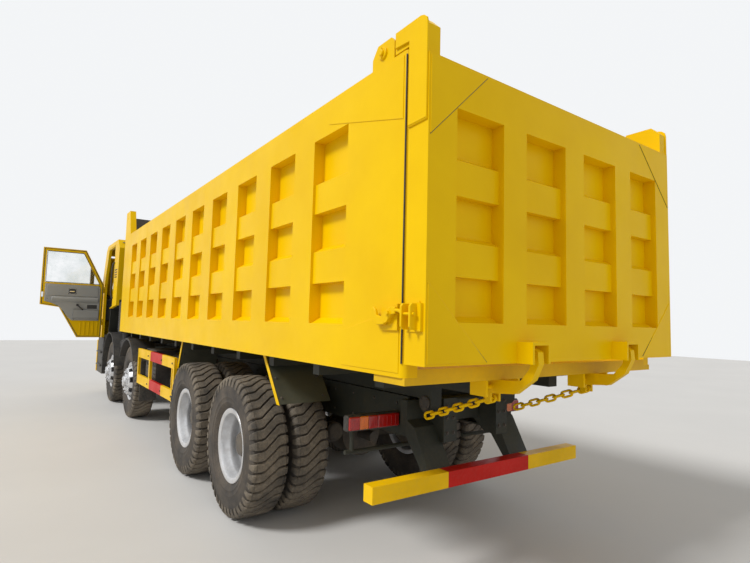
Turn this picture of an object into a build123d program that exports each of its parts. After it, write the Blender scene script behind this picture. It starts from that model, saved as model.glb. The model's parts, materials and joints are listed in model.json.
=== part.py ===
from build123d import *
import os
from math import atan2, cos, degrees, hypot, pi, radians, sin, sqrt, tan

os.makedirs("parts", exist_ok=True)

# A four-axle tipping truck, in millimetres. While it is modelled, X points to the truck's left, the
# front is towards -Y, Z is up, Y is 0 at the rearmost axle and Z is 0 at the ground. When the pieces
# are written they are shifted, so that the origin is the bottom centre of the whole truck's box.

# Clearances shared by all pieces
seat_gap = 0.3          # between two pieces of one body that rest on each other
shaft_gap = 0.3         # round a shaft or pin that turns
move_gap = 6            # between pieces that move past each other
overrun = 20            # how far a cutting solid passes the surface that it cuts

# Axles and wheels
front_axle_spacing = 1800
middle_axle_spacing = 3450
rear_axle_spacing = 1350
tyre_radius = 562.5
tyre_width = 300
tyre_bulge_radius = 410
tyre_shoulder_radius = 528
tyre_shoulder_half = 134
tyre_crown_half = 112
rim_radius = 254
rim_half_width = 108
rim_thickness = 8
flange_radius = 298
flange_width = 10
disc_offset = 175       # from the rim's middle plane to the face that is bolted to the hub
disc_thickness = 12
disc_flat_radius = 200
front_wheel_x = 1010
rear_outer_wheel_x = 1090
hub_radius = 105
hub_cap_radius = 80
hub_cap_length = 48
drum_radius = 205
drum_front_width = 130
drum_rear_width = 200
spindle_radius = 42

# Steering knuckles and front axle beams
kingpin_x = 820
kingpin_radius = 22
eye_radius = 46
eye_half_height = 50
ear_thickness = 36
knuckle_web = 24
steer_arm_length = 190
steer_arm_width = 40
beam_depth = 90
beam_drop = 90
beam_height = 90
beam_flat_half = 560

# Chassis frame
frame_half_width = 430
rail_height = 280
rail_flange = 80
rail_web = 12
frame_top_z = 1080
frame_front_reach = 1300         # ahead of the first axle
frame_rear_y = 1400
cross_height = 150
cross_width = 70
cross_shares = (0.0, 0.25, 0.42, 0.56, 0.69, 0.83)    # along the frame, from its front end
rear_cross_half = 500
rear_cross_z = 900
hinge_y = 1500
hinge_z = 1060
hinge_shaft_radius = 32
hinge_block_inner = 200
hinge_block_outer = 322
hinge_block_rear = 1575
hinge_block_bottom = 800

# Rear axles, springs, engine and driveline
axle_tube_radius = 80
axle_tube_half = 540
banjo_radius = 205
banjo_half_depth = 130
nose_radius = 110
nose_length = 330
front_spring_x = 385
spring_width = 84
front_spring_half = 780
front_spring_thickness = 96
front_spring_tip = 24
spring_eye_z = 690
hanger_width = 110
rear_spring_x = 505
rear_spring_thickness = 170
rear_spring_tip = 40
rear_spring_top = 830
trunnion_radius = 85
engine_half_width = 320
engine_front_reach = 1050
engine_length = 1150
engine_bottom_z = 640
engine_top_z = 1340
gearbox_half_width = 210
gearbox_length = 470
gearbox_height = 380
prop_radius = 48
prop_z = 700

# Rear underrun bar, tail lamps and side guards
underrun_rear_y = 1708
underrun_depth = 90
underrun_half = 996
underrun_z = 555
underrun_height = 100
leg_inner_x = 300
leg_outer_x = 500
leg_thickness = 80
lamp_frame_gap = 2
lamp_inner_x = frame_half_width + lamp_frame_gap
lamp_outer_x = 880
lamp_z = 860
lamp_height = 110
lamp_depth = 70
lamp_y = 1180
lamp_pipe_radius = 16
lamp_pipe_z = 720
guard_x = 1150
guard_thickness = 36
guard_front_gap = 600            # behind the second axle
guard_rear_gap = 760             # ahead of the third axle
guard_bottom_z = 607
guard_top_z = 1118
guard_rail_height = 128
guard_post_width = 60
guard_mid_post = 750             # from the guard's front end
guard_tail_post_shares = (2.0, 0.5)    # place and width of the post before the last, in post widths

# Tanks beside the frame
tank_inner_x = 480
tank_outer_x = 1080
tank_front_gap = 840             # behind the second axle
tank_rear_gap = 1270             # ahead of the third axle
tank_bottom_z = 580
tank_top_z = 1130
tank_corner = 70
battery_length = 630
air_tank_radius = 125
cradle_thickness = 24
air_tank_x = 800
air_tank_low_z = 720
air_tank_high_z = 985

# Bed
side_x = 1190           # outer face of each side
side_thickness = 90
bed_front_gap = 183              # behind the hoist's middle
bed_rear_y = 2203
bed_bottom_z = 1330
bed_top_z = 2985
floor_thickness = 40
side_rib_pitch = 692
side_pocket_width = 412
side_pocket_rear_y = 1645
side_pocket_count = 10
side_recess = 18
side_pocket_depth = 78
side_rows = ((2480, 2766), (2035, 2285), (1582, 1833))    # low edge, high edge
ledge_slope = 30        # degrees
side_rear_round = 34
corner_post_top_z = 3410
corner_post_length = 480
corner_post_slope = 160
headboard_top_z = 3330
headboard_thickness = 80
subframe_set = 5        # inside the frame's faces
subframe_half = frame_half_width - subframe_set
subframe_rail_width = 90
subframe_rail_height = 160
subframe_gap = 7
bearer_width = 80
bearer_count = 11
sill_bottom_z = 1293
sill_front_y = 1950
sill_half = 1180
flap_inner_x = 670
flap_outer_x = 1105
flap_thickness = 24
flap_rear_top = 352     # behind the last axle
flap_rear_low = 645
flap_rear_low_z = 978
flap_front_top = 623    # ahead of the third axle
flap_front_low = 780
flap_front_low_z = 1000

# Tailgate
gate_rear_y = 2358
gate_bottom_z = 1398
gate_top_z = 2902
gate_post_inner = 1000
gate_rib_width = 190
gate_rib_x = 555
gate_rows = ((2420, 2670), (2010, 2238), (1605, 1830))    # low edge, high edge
gate_recess = 34
gate_pocket_depth = 86
gate_pivot_y = 1980
gate_pivot_z = 3050
pivot_radius = 20
arm_width = 80
arm_tongue = 34
arm_eye_radius = 52
arm_top_z = 3112
arm_bottom_z = 2993
arm_rear_y = 2345
arm_round = 60
bracket_plate = 16
bracket_front_y = 1880
bracket_rear_y = 2078
bracket_chamfer = 30

# Tailgate hooks and corner latches
hook_x = 465
hook_thickness = 46
hook_plate_gap = 116
hook_plate = 16
hook_cap_z = 1512
hook_plate_reach = 100
hook_slot_gap = 14
keeper_radius = 14
hook_bracket_half = 135
hook_bracket_z = 1205
hook_reach = 98         # behind the tailgate's rear face
hook_height = 273
# y and z of the hook's corners, from its front low corner, in its length and height
hook_shares = ((0.0, 0.0), (0.574, 0.073), (0.884, 0.385), (1.0, 0.714), (0.984, 0.934), (0.903, 1.0),
               (0.876, 0.824), (0.844, 0.604), (0.682, 0.348), (0.439, 0.32), (0.0, 0.32))
hook_keeper_share = 0.4     # place of the cross pin, between the bearing plates' front edge and the sill's rear
latch_z = 1560
latch_height = 130

# Chains, as flat-sided oval links
chain_bar_radius = 9
chain_pitch = 66
chain_half_width = 20
chain_cheek_half = 30
chain_cheek_depth = 40
chain_cheek_drop = 20
chain_places = {"left": (445, 1545, 985, 378), "right": (-400, 1600, 985, -600)}   # low x, y, z and top x
chain_top_y = 2050
chain_anchor_drop = 40

# Cab
cab_half_width = 1220
cab_wall = 50
cab_overhang = 1500              # ahead of the first axle
cab_length = 2050
cab_floor_z = 1150
cab_belt_z = 2100
cab_roof_z = 3010
screen_foot_set = 90             # behind the cab's front
screen_head_set = 490
screen_head_z = 2900
cab_tail_z = 1790
cab_step_y = 530        # from the door's hinge to the step under the bunk
cab_step_lean = 110
cab_corner_radius = 170
tunnel_half = 420
tunnel_top_z = 1440
tunnel_rear_gap = 150            # before the cab's rear wall
glass_thickness = 6
window_margin = 70

# Doors
door_gap = 8
hinge_offset = 16       # from the cab's side out to the hinge line
hinge_barrel_radius = 14
hinge_pin_radius = 6
hinge_leaf = 60
hinge_low_z = (1400, 2060)
door_hinge_set = 500             # behind the cab's front
door_width = 1080
door_top_z = 2900
door_sill_z = 2220
door_pillar_lean = 350
door_bottom_length = 430
door_arch_y = 760
door_arch_z = 1740
door_latch_z = 1785
door_frame = 62
door_trim_thickness = 26
door_open_angle = 90
mirror_length = 190
mirror_height = 560
mirror_depth = 90
mirror_out = 230
mirror_along = 200
mirror_bottom_z = 2060
mirror_arm_radius = 12

# Front end, fenders and what stands in the cab
bumper_reach = 90                # ahead of the cab's front
bumper_depth = 180
bumper_half = 1225
bumper_bottom_z = 440
bumper_top_z = 1080
bumper_round = 90
tow_x = 390
tow_thickness = 40
tow_half = 55
tow_drop = 50
tow_radius = 22
headlamp_inner_x = 720
headlamp_outer_x = 1100
headlamp_bottom_z = 640
headlamp_height = 210
grille_half = 880
grille_bottom_z = 1240
grille_bar_height = 70
grille_bar_pitch = 130
grille_bar_count = 5
grille_bar_depth = 40
arch_radius_1 = 700     # over the wheels of the first axle
arch_radius_2 = 655
arch_rise_1 = 150       # from the axle up to the arch's ends
arch_rise_2 = 360
arch_thickness = 24
arch_arm_half = 40
arch_inner_x = 870
arch_set = 5            # inside the cab's sides
arch_outer_x = cab_half_width - arch_set
seat_width = 520
seat_x = 620
seat_depth = 450
seat_front_set = 80              # behind the door's hinge
seat_bottom_z = 1600
seat_cushion_height = 150
seat_back_height = 760
seat_back_thickness = 140
dash_rear_reach = 130            # ahead of the door's hinge
dash_bottom_z = 1500
dash_top_z = 2020
steering_wheel_radius = 230
steering_rim_radius = 16
steering_wheel_z = 2080
steering_wheel_set = 10          # behind the door's hinge

# Telescopic hoist between cab and bed
hoist_gap = 180                  # behind the cab's rear wall
hoist_base_z = 900
hoist_top_z = 3080
hoist_radii = (106, 90, 76, 62)      # tube, stage 1, stage 2, rod
hoist_pin_radius = 40
hoist_pin_half = 150
hoist_eye_half = 50
hoist_ear_gap = 14
hoist_ear_thickness = 24
tip_angle = 45
niche_half_width = 260
niche_wall = 12
niche_clearance = 45


# Places worked out from the sizes above
axle_z = tyre_radius
rear_axle_y = {2: 0, 1: -rear_axle_spacing}
front_axle_y = {2: -rear_axle_spacing - middle_axle_spacing}
front_axle_y[1] = front_axle_y[2] - front_axle_spacing
frame_bottom_z = frame_top_z - rail_height
frame_front_y = front_axle_y[1] - frame_front_reach
engine_front_y = front_axle_y[1] - engine_front_reach
engine_rear_y = engine_front_y + engine_length
cab_front_y = front_axle_y[1] - cab_overhang
cab_rear_y = cab_front_y + cab_length
screen_foot_y = cab_front_y + screen_foot_set
screen_head_y = cab_front_y + screen_head_set
tunnel_rear_y = cab_rear_y - tunnel_rear_gap
door_hinge_y = cab_front_y + door_hinge_set
bumper_front_y = cab_front_y - bumper_reach
seat_front_y = door_hinge_y + seat_front_set
dash_rear_y = door_hinge_y - dash_rear_reach
steering_wheel_y = door_hinge_y + steering_wheel_set
hoist_y = cab_rear_y + hoist_gap
bed_front_y = hoist_y + bed_front_gap
guard_front_y = front_axle_y[2] + guard_front_gap
guard_mid_post_y = guard_front_y + guard_mid_post
guard_rear_y = rear_axle_y[1] - guard_rear_gap
tank_front_y = front_axle_y[2] + tank_front_gap
tank_rear_y = rear_axle_y[1] - tank_rear_gap
battery_rear_y = tank_front_y + battery_length
arch_radii = {1: arch_radius_1, 2: arch_radius_2}
arch_rises = {1: arch_rise_1, 2: arch_rise_2}
twin_middle_x = rear_outer_wheel_x - disc_offset
side_inner_x = side_x - side_thickness
gate_front_y = bed_rear_y + move_gap
hinge_x = cab_half_width + hinge_offset
hinge_line_gap = door_gap / 2
hinge_line_y = door_hinge_y - hinge_line_gap


def block(x0, x1, y0, y1, z0, z1):
    size = Box(abs(x1 - x0), abs(y1 - y0), abs(z1 - z0))
    return Pos((x0 + x1) / 2, (y0 + y1) / 2, (z0 + z1) / 2) * size


def side_plate(outline, x0, x1):
    """A prism from an outline of (y, z) points, between two planes across X."""
    face = make_face(Polyline(*outline, close=True))
    return extrude(Plane.YZ.offset(x0) * face, amount=x1 - x0)


def rear_plate(outline, y0, y1):
    """A prism from an outline of (x, z) points, between two planes across Y."""
    face = make_face(Polyline(*outline, close=True))
    return extrude(Plane.XZ.offset(-y0) * face, amount=y0 - y1)


def bar_x(radius, x0, x1, y, z):
    return Pos((x0 + x1) / 2, y, z) * Rot(0, 90, 0) * Cylinder(radius, abs(x1 - x0))


def bar_y(radius, y0, y1, x, z):
    return Pos(x, (y0 + y1) / 2, z) * Rot(90, 0, 0) * Cylinder(radius, abs(y1 - y0))


def bar_z(radius, z0, z1, x, y):
    return Pos(x, y, (z0 + z1) / 2) * Cylinder(radius, abs(z1 - z0))


def spun(outline):
    """A solid of revolution about X, from an outline of (x, radius) points."""
    return revolve(Plane.XZ * make_face(Polyline(*outline, close=True)), axis=Axis.X)


def flipped(shape):
    return mirror(shape, about=Plane.YZ)


def on_side(shape, side):
    return shape if side == "left" else flipped(shape)


def both(shape):
    return [shape, flipped(shape)]


def joined(shapes):
    """One solid from pieces that overlap or touch."""
    first, *rest = shapes
    return first.fuse(*rest).clean() if rest else first


# Wheels

def tyre(middle_x):
    bead_half = rim_half_width - seat_gap
    bead_radius = rim_radius + seat_gap
    lip_radius = flange_radius + seat_gap
    half = ((bead_half, bead_radius), (bead_half, lip_radius), (tyre_width / 2, tyre_bulge_radius),
            (tyre_shoulder_half, tyre_shoulder_radius), (tyre_crown_half, tyre_radius))
    outline = [(middle_x + x, r) for x, r in half]
    outline += [(middle_x - x, r) for x, r in reversed(half)]
    return spun(outline)


def rim(middle_x, outward):
    """A rim whose bolted face lies on the given side, 1 or -1, of its middle plane."""
    barrel_radius = rim_radius - rim_thickness
    edge = rim_half_width + flange_width
    barrel = spun(((middle_x - edge, barrel_radius), (middle_x - edge, flange_radius),
                   (middle_x - rim_half_width, flange_radius), (middle_x - rim_half_width, rim_radius),
                   (middle_x + rim_half_width, rim_radius), (middle_x + rim_half_width, flange_radius),
                   (middle_x + edge, flange_radius), (middle_x + edge, barrel_radius)))
    face_x = middle_x + outward * disc_offset
    foot_x = middle_x + outward * disc_offset / 4
    back = -outward * disc_thickness
    disc = spun(((face_x, hub_radius), (face_x, disc_flat_radius), (foot_x, barrel_radius),
                 (foot_x, rim_radius - rim_thickness / 2), (foot_x + back, rim_radius - rim_thickness / 2),
                 (foot_x + back, barrel_radius - disc_thickness / 2),
                 (face_x + back, disc_flat_radius - disc_thickness / 2), (face_x + back, hub_radius)))
    return barrel, disc


def front_wheel(y):
    place = Pos(0, y, axle_z)
    barrel, disc = rim(front_wheel_x, 1)
    face_x = front_wheel_x + disc_offset
    drum_x = front_wheel_x - rim_half_width
    hub = spun(((drum_x, 0), (drum_x, drum_radius), (drum_x + drum_front_width, drum_radius),
                (drum_x + drum_front_width, hub_radius), (face_x + disc_thickness, hub_radius),
                (face_x + disc_thickness, hub_cap_radius), (face_x + hub_cap_length, hub_cap_radius),
                (face_x + hub_cap_length, 0)))
    whole = joined([barrel, disc, hub])
    bore = bar_x(spindle_radius + shaft_gap, drum_x - overrun, face_x, 0, 0)
    return place * tyre(front_wheel_x), place * (whole - bore)


def rear_wheel(y):
    place = Pos(0, y, axle_z)
    inner_wheel_x = twin_middle_x - disc_offset
    outer = rim(rear_outer_wheel_x, -1)
    inner = rim(inner_wheel_x, 1)
    drum_x = inner_wheel_x - rim_half_width - flange_width
    cap_x = twin_middle_x + disc_offset + hub_cap_length
    hub = spun(((drum_x, 0), (drum_x, drum_radius), (drum_x + drum_rear_width, drum_radius),
                (drum_x + drum_rear_width, hub_radius), (cap_x - hub_cap_length, hub_radius),
                (cap_x, hub_cap_radius), (cap_x, 0)))
    whole = joined([*outer, *inner, hub])
    bore = bar_x(spindle_radius + shaft_gap, drum_x - overrun, twin_middle_x, 0, 0)
    tyres = Compound(children=[tyre(rear_outer_wheel_x), tyre(inner_wheel_x)])
    return place * tyres, place * (whole - bore)


# Steered knuckles and axles

def knuckle(y):
    ear_low = eye_half_height + move_gap
    ear_high = ear_low + ear_thickness
    web_x = kingpin_x + eye_radius + move_gap
    pieces = [block(web_x, web_x + knuckle_web, -eye_radius, eye_radius, -ear_high, ear_high)]
    for low, high in ((ear_low, ear_high), (-ear_high, -ear_low)):
        pieces.append(bar_z(eye_radius, low, high, kingpin_x, 0))
        pieces.append(block(kingpin_x, web_x, -eye_radius, eye_radius, low, high))
    pieces.append(bar_z(kingpin_radius, -ear_high, ear_high, kingpin_x, 0))
    spindle_end = front_wheel_x + disc_offset / 2
    pieces.append(bar_x(spindle_radius, web_x, spindle_end, 0, 0))
    pieces.append(block(kingpin_x - steer_arm_width / 2, kingpin_x + steer_arm_width / 2,
                        0, steer_arm_length, -ear_high, -ear_low))
    return Pos(0, y, axle_z) * joined(pieces)


def front_axle(y):
    half = beam_height / 2
    end_x = kingpin_x - eye_radius / 2
    bend_x = kingpin_x - eye_radius * 2
    right = ((beam_flat_half, -half - beam_drop), (bend_x, -half), (end_x, -half),
             (end_x, half), (bend_x, half), (beam_flat_half, half - beam_drop))
    outline = [*right, *[(-x, z) for x, z in reversed(right)]]
    beam = rear_plate(outline, -beam_depth / 2, beam_depth / 2)
    eye = bar_z(eye_radius, -eye_half_height, eye_half_height, kingpin_x, 0)
    whole = joined([beam, *both(eye)])
    bore = bar_z(kingpin_radius + shaft_gap, -rail_height, rail_height, kingpin_x, 0)
    return Pos(0, y, axle_z) * (whole - bore - flipped(bore))


def rear_axle(y):
    tube = bar_x(axle_tube_radius, -axle_tube_half, axle_tube_half, 0, 0)
    spindle = bar_x(spindle_radius, -twin_middle_x + disc_thickness, twin_middle_x - disc_thickness, 0, 0)
    banjo = bar_y(banjo_radius, -banjo_half_depth, banjo_half_depth, 0, 0)
    nose = bar_y(nose_radius, -nose_length, 0, 0, 0)
    tail = bar_y(prop_radius, 0, nose_length, 0, 0)
    return Pos(0, y, axle_z) * joined([tube, spindle, banjo, nose, tail])


# Chassis

def chassis_frame():
    """Two channel rails and the crossmembers between them, with what is bolted to the rails."""
    inner = frame_half_width - rail_flange
    rear_y = frame_rear_y - cross_width - seat_gap
    web = block(frame_half_width - rail_web, frame_half_width, frame_front_y, rear_y, frame_bottom_z, frame_top_z)
    top = block(inner, frame_half_width, frame_front_y, rear_y, frame_top_z - rail_web, frame_top_z)
    low = block(inner, frame_half_width, frame_front_y, rear_y, frame_bottom_z, frame_bottom_z + rail_web)
    pieces = both(joined([web, top, low]))
    cross_top = frame_top_z - rail_web - seat_gap
    reach = frame_half_width - rail_web - seat_gap
    for share in cross_shares:
        y = frame_front_y + share * (frame_rear_y - frame_front_y)
        pieces.append(block(-reach, reach, y, y + cross_width, cross_top - cross_height, cross_top))
    return [*pieces, *hoist_cradle(), *tank_brackets()]


def frame_tail():
    """The rear crossmember with the bed's hinge blocks and shaft and the underrun bar's legs."""
    cross = block(-rear_cross_half, rear_cross_half, frame_rear_y - cross_width, frame_rear_y,
                  rear_cross_z, frame_top_z - rail_web)
    return joined([cross, *hinge_blocks(), *underrun_legs()])


def hinge_blocks():
    """The blocks that carry the bed's hinge shaft, and the shaft."""
    y0 = frame_rear_y - cross_width
    outline = ((y0, rear_cross_z), (hinge_y - hinge_shaft_radius, hinge_block_bottom),
               (hinge_block_rear, hinge_block_bottom), (hinge_block_rear, hinge_z + hinge_shaft_radius),
               (y0, hinge_z + hinge_shaft_radius))
    shape = side_plate(outline, hinge_block_inner, hinge_block_outer)
    return [*both(shape), bar_x(hinge_shaft_radius, -subframe_half, subframe_half, hinge_y, hinge_z)]


def underrun_legs():
    bar_front = underrun_rear_y - underrun_depth
    top_z = rear_cross_z + cross_width
    outline = ((frame_rear_y - cross_width, top_z), (frame_rear_y + leg_thickness, rear_cross_z),
               (bar_front - seat_gap, underrun_z + underrun_height), (bar_front - seat_gap, underrun_z),
               (frame_rear_y, rear_cross_z - leg_thickness))
    return both(side_plate(outline, leg_inner_x, leg_outer_x))


def hoist_cradle():
    """Cross plates with the hoist's lower pin between the frame rails."""
    reach = frame_half_width - rail_flange - seat_gap
    half = hoist_radii[0] + hoist_ear_gap
    ear = side_plate(((hoist_y - half, frame_bottom_z), (hoist_y + half, frame_bottom_z),
                      (hoist_y + half, hoist_base_z), (hoist_y + hoist_pin_radius, frame_top_z),
                      (hoist_y - hoist_pin_radius, frame_top_z), (hoist_y - half, hoist_base_z)),
                     hoist_pin_half, hoist_pin_half + hoist_ear_thickness)
    foot = block(hoist_pin_half, reach, hoist_y - half, hoist_y + half,
                 frame_bottom_z, frame_bottom_z + rail_web)
    return both(joined([ear, foot]))


def suspension():
    """Leaf packs on the front beams, each hung from the frame by two hangers."""
    pieces = []
    seat_z = axle_z - beam_drop + beam_height / 2 + seat_gap
    x0 = front_spring_x - spring_width / 2
    x1 = x0 + spring_width
    half = front_spring_half
    top_z = seat_z + front_spring_thickness
    for y in front_axle_y.values():
        outline = ((y - half, spring_eye_z), (y - half, spring_eye_z + front_spring_tip),
                   (y - half / 5, top_z), (y + half / 5, top_z),
                   (y + half, spring_eye_z + front_spring_tip), (y + half, spring_eye_z),
                   (y + half / 3, seat_z), (y - half / 3, seat_z))
        pack = [side_plate(outline, x0, x1)]
        for end in (y - half, y + half - hanger_width):
            pack.append(block(x0, x1, end, end + hanger_width, spring_eye_z, frame_bottom_z - seat_gap))
        pieces += both(joined(pack))
    pieces += rear_springs()
    return pieces


def rear_springs():
    x0 = rear_spring_x - spring_width / 2
    x1 = x0 + spring_width
    middle = (rear_axle_y[1] + rear_axle_y[2]) / 2
    half = rear_axle_spacing / 2 + axle_tube_radius / 2
    pad_z = axle_z + axle_tube_radius + seat_gap
    low_z = rear_spring_top - rear_spring_thickness
    outline = ((middle - half, pad_z), (middle - half, pad_z + rear_spring_tip),
               (middle - half / 4, rear_spring_top), (middle + half / 4, rear_spring_top),
               (middle + half, pad_z + rear_spring_tip), (middle + half, pad_z),
               (middle + half - axle_tube_radius, pad_z), (middle + half / 4, low_z),
               (middle - half / 4, low_z), (middle - half + axle_tube_radius, pad_z))
    spring = side_plate(outline, x0, x1)
    trunnion = bar_x(trunnion_radius, frame_half_width + seat_gap, x1, middle, low_z - trunnion_radius / 2)
    hanger = block(frame_half_width + seat_gap, x0 + overrun / 2, middle - trunnion_radius,
                   middle + trunnion_radius, low_z - trunnion_radius, frame_top_z - rail_web)
    return both(joined([spring, trunnion, hanger]))


def driveline():
    """Gearbox, propeller shaft and the shaft between the rear axles."""
    gear_y = engine_rear_y + seat_gap
    gear_end = gear_y + gearbox_length
    gear = block(-gearbox_half_width, gearbox_half_width, gear_y, gear_end,
                 engine_bottom_z, engine_bottom_z + gearbox_height)
    end_y = rear_axle_y[1] - nose_length - seat_gap
    start = Vector(0, gear_end - overrun, prop_z)
    run = Vector(0, end_y + overrun, axle_z) - start
    shaft = Plane(origin=start, z_dir=run) * Pos(0, 0, run.length / 2) * Cylinder(prop_radius, run.length)
    between = block(-nose_radius, nose_radius, gear_end + seat_gap, end_y, 0, frame_top_z)
    link = bar_y(prop_radius, rear_axle_y[1] + nose_length + seat_gap,
                 rear_axle_y[2] - nose_length - seat_gap, 0, axle_z)
    return [gear, shaft & between, link]


def side_tanks():
    tank = block(-tank_outer_x, -tank_inner_x, tank_front_y, tank_rear_y, tank_bottom_z, tank_top_z)
    tank = fillet(tank.edges().filter_by(Axis.Y), tank_corner)
    pieces = [tank]
    box = block(tank_inner_x, tank_outer_x, tank_front_y, battery_rear_y, tank_bottom_z, tank_top_z)
    pieces.append(box)
    start = battery_rear_y + cross_width
    for z in (air_tank_low_z, air_tank_high_z):
        air = bar_y(air_tank_radius, start, tank_rear_y, air_tank_x, z)
        pieces.append(chamfer(air.edges(), air_tank_radius / 3))
    return pieces


def tank_brackets():
    """Arms from the frame rails to the tanks, and the air tanks' cradles."""
    inner = frame_half_width + seat_gap
    outer = tank_inner_x - seat_gap
    last_y = tank_rear_y - tank_corner * 2
    pieces = [air_cradle(battery_rear_y + tank_corner)]
    for y in (tank_front_y + tank_corner, battery_rear_y - tank_corner * 2, last_y):
        left, right = both(block(inner, outer, y, y + cross_width, frame_bottom_z, frame_bottom_z + cross_height))
        pieces += [joined([left, air_cradle(y)]) if y == last_y else left, right]
    return pieces


def air_cradle(y):
    """An upright plate with two round seats for the air tanks."""
    plate = block(frame_half_width + seat_gap, air_tank_x, y, y + cradle_thickness,
                  air_tank_low_z - air_tank_radius / 2, air_tank_high_z + air_tank_radius / 2)
    for z in (air_tank_low_z, air_tank_high_z):
        plate = plate - bar_y(air_tank_radius + seat_gap, y - overrun, y + cradle_thickness + overrun,
                              air_tank_x, z)
    return plate


def side_guards():
    outer = guard_x
    inner = guard_x - guard_thickness
    pieces = []
    for z in (guard_bottom_z, guard_top_z - guard_rail_height):
        pieces.append(block(inner, outer, guard_front_y, guard_rear_y, z, z + guard_rail_height))
    back, slim = guard_tail_post_shares
    posts = ((guard_front_y, guard_post_width), (guard_mid_post_y, guard_post_width),
             (guard_rear_y - back * guard_post_width, slim * guard_post_width),
             (guard_rear_y - guard_post_width, guard_post_width))
    for y, width in posts:
        pieces.append(block(inner, outer, y, y + width, guard_bottom_z, guard_top_z))
    arm_z = frame_bottom_z + seat_gap
    for y in (guard_front_y, guard_rear_y - guard_post_width):
        pieces.append(block(frame_half_width + seat_gap, outer, y, y + guard_post_width,
                            arm_z, arm_z + guard_post_width))
    return both(joined(pieces))


def rear_underrun():
    bar = block(-underrun_half, underrun_half, underrun_rear_y - underrun_depth, underrun_rear_y,
                underrun_z, underrun_z + underrun_height)
    return bar


def tail_lamps():
    lamp = block(lamp_inner_x, lamp_outer_x, lamp_y, lamp_y + lamp_depth, lamp_z, lamp_z + lamp_height)
    carrier = block(frame_half_width + seat_gap, lamp_outer_x, lamp_y - rail_web, lamp_y + overrun / 2,
                    lamp_z + overrun, lamp_z + lamp_height - overrun)
    post_x = lamp_outer_x - lamp_depth
    post = bar_z(lamp_pipe_radius, lamp_pipe_z, lamp_z + overrun, post_x, lamp_y + lamp_pipe_radius)
    pipe = bar_x(lamp_pipe_radius, frame_half_width / 2, lamp_outer_x, lamp_y + lamp_pipe_radius, lamp_pipe_z)
    return both(joined([lamp, carrier, post, pipe]))


# Bed

def pocket_profile(face, depth, low, high, recess):
    """The section of a pocket with a sloping ledge: (distance, z) points, outwards from a face."""
    rise = (depth - recess) * tan(radians(ledge_slope))
    return ((face + overrun, low), (face - recess, low), (face - depth, low + rise),
            (face - depth, high), (face + overrun, high))


def bed_side():
    wall = block(side_inner_x, side_x, bed_front_y, bed_rear_y, bed_bottom_z, bed_top_z)
    corner = wall.edges().filter_by(Axis.Z).sort_by(Axis.Y)[-2:].sort_by(Axis.X)[-1]
    wall = fillet(corner, side_rear_round)
    low = side_rows[-1][0]
    high = side_rows[0][1]
    cuts = []
    for i in range(side_pocket_count):
        rear = side_pocket_rear_y - i * side_rib_pitch
        front = rear - side_pocket_width
        cuts.append(block(side_x - side_recess, side_x + overrun, front, rear, low, high))
        for row_low, row_high in side_rows:
            outline = pocket_profile(side_x, side_pocket_depth, row_low, row_high, side_recess)
            cuts.append(rear_plate(outline, front, rear))
    wall = wall.cut(*cuts)
    post_rear = bed_front_y + corner_post_length
    post = side_plate(((bed_front_y, bed_top_z), (bed_front_y, corner_post_top_z),
                       (post_rear - corner_post_slope, corner_post_top_z), (post_rear, bed_top_z)),
                      side_inner_x, side_x)
    pieces = [wall, post, *gate_bracket(), side_latch()]
    return joined(pieces)


def gate_bracket():
    """Two plates on the side's top rail, and the pin on which the tailgate's arm turns."""
    middle = side_x - arm_width / 2
    half = arm_tongue / 2 + move_gap
    outline = ((bracket_front_y, bed_top_z), (bracket_front_y, gate_pivot_z),
               (gate_pivot_y - arm_eye_radius, arm_top_z), (bracket_rear_y - bracket_chamfer, arm_top_z),
               (bracket_rear_y, arm_top_z - bracket_chamfer), (bracket_rear_y, bed_top_z))
    plates = [side_plate(outline, middle + half, middle + half + bracket_plate),
              side_plate(outline, middle - half - bracket_plate, middle - half)]
    pin = bar_x(pivot_radius, middle - half - bracket_plate, middle + half + bracket_plate,
                gate_pivot_y, gate_pivot_z)
    return [*plates, pin]


def side_latch():
    """The corner latch's plate and lever on the side's rear end."""
    rear = bed_rear_y - side_rear_round
    plate = block(side_x, side_x + hook_plate, rear - latch_height, rear, latch_z, latch_z + latch_height)
    lever = bar_x(keeper_radius * 2, side_x, side_x + hook_thickness, rear - latch_height / 2,
                  latch_z + latch_height / 2)
    return joined([plate, lever])


def niche_points():
    """Bed-frame line of the hoist at full tip, as the niche's rear face: y at floor and at the top."""
    lean = hoist_lean()
    slope = tan(radians(tip_angle - lean))
    radius = hoist_radii[0] + niche_clearance
    y_top = hoist_y + radius + overrun
    y_floor = hoist_y + (hoist_top_z - bed_bottom_z) * slope + radius
    return y_top, y_floor


def hoist_top_at(angle):
    """Place of the hoist's top pin when the bed is tipped by an angle in degrees."""
    y = hoist_y - hinge_y
    z = hoist_top_z - hinge_z
    c = cos(radians(angle))
    s = sin(radians(angle))
    return hinge_y + y * c + z * s, hinge_z - y * s + z * c


def hoist_lean():
    y, z = hoist_top_at(tip_angle)
    return degrees(atan2(y - hoist_y, z - hoist_base_z))


def hoist_stage_travel():
    y, z = hoist_top_at(tip_angle)
    length = hypot(y - hoist_y, z - hoist_base_z)
    return (length - (hoist_top_z - hoist_base_z)) / (len(hoist_radii) - 1)


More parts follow.
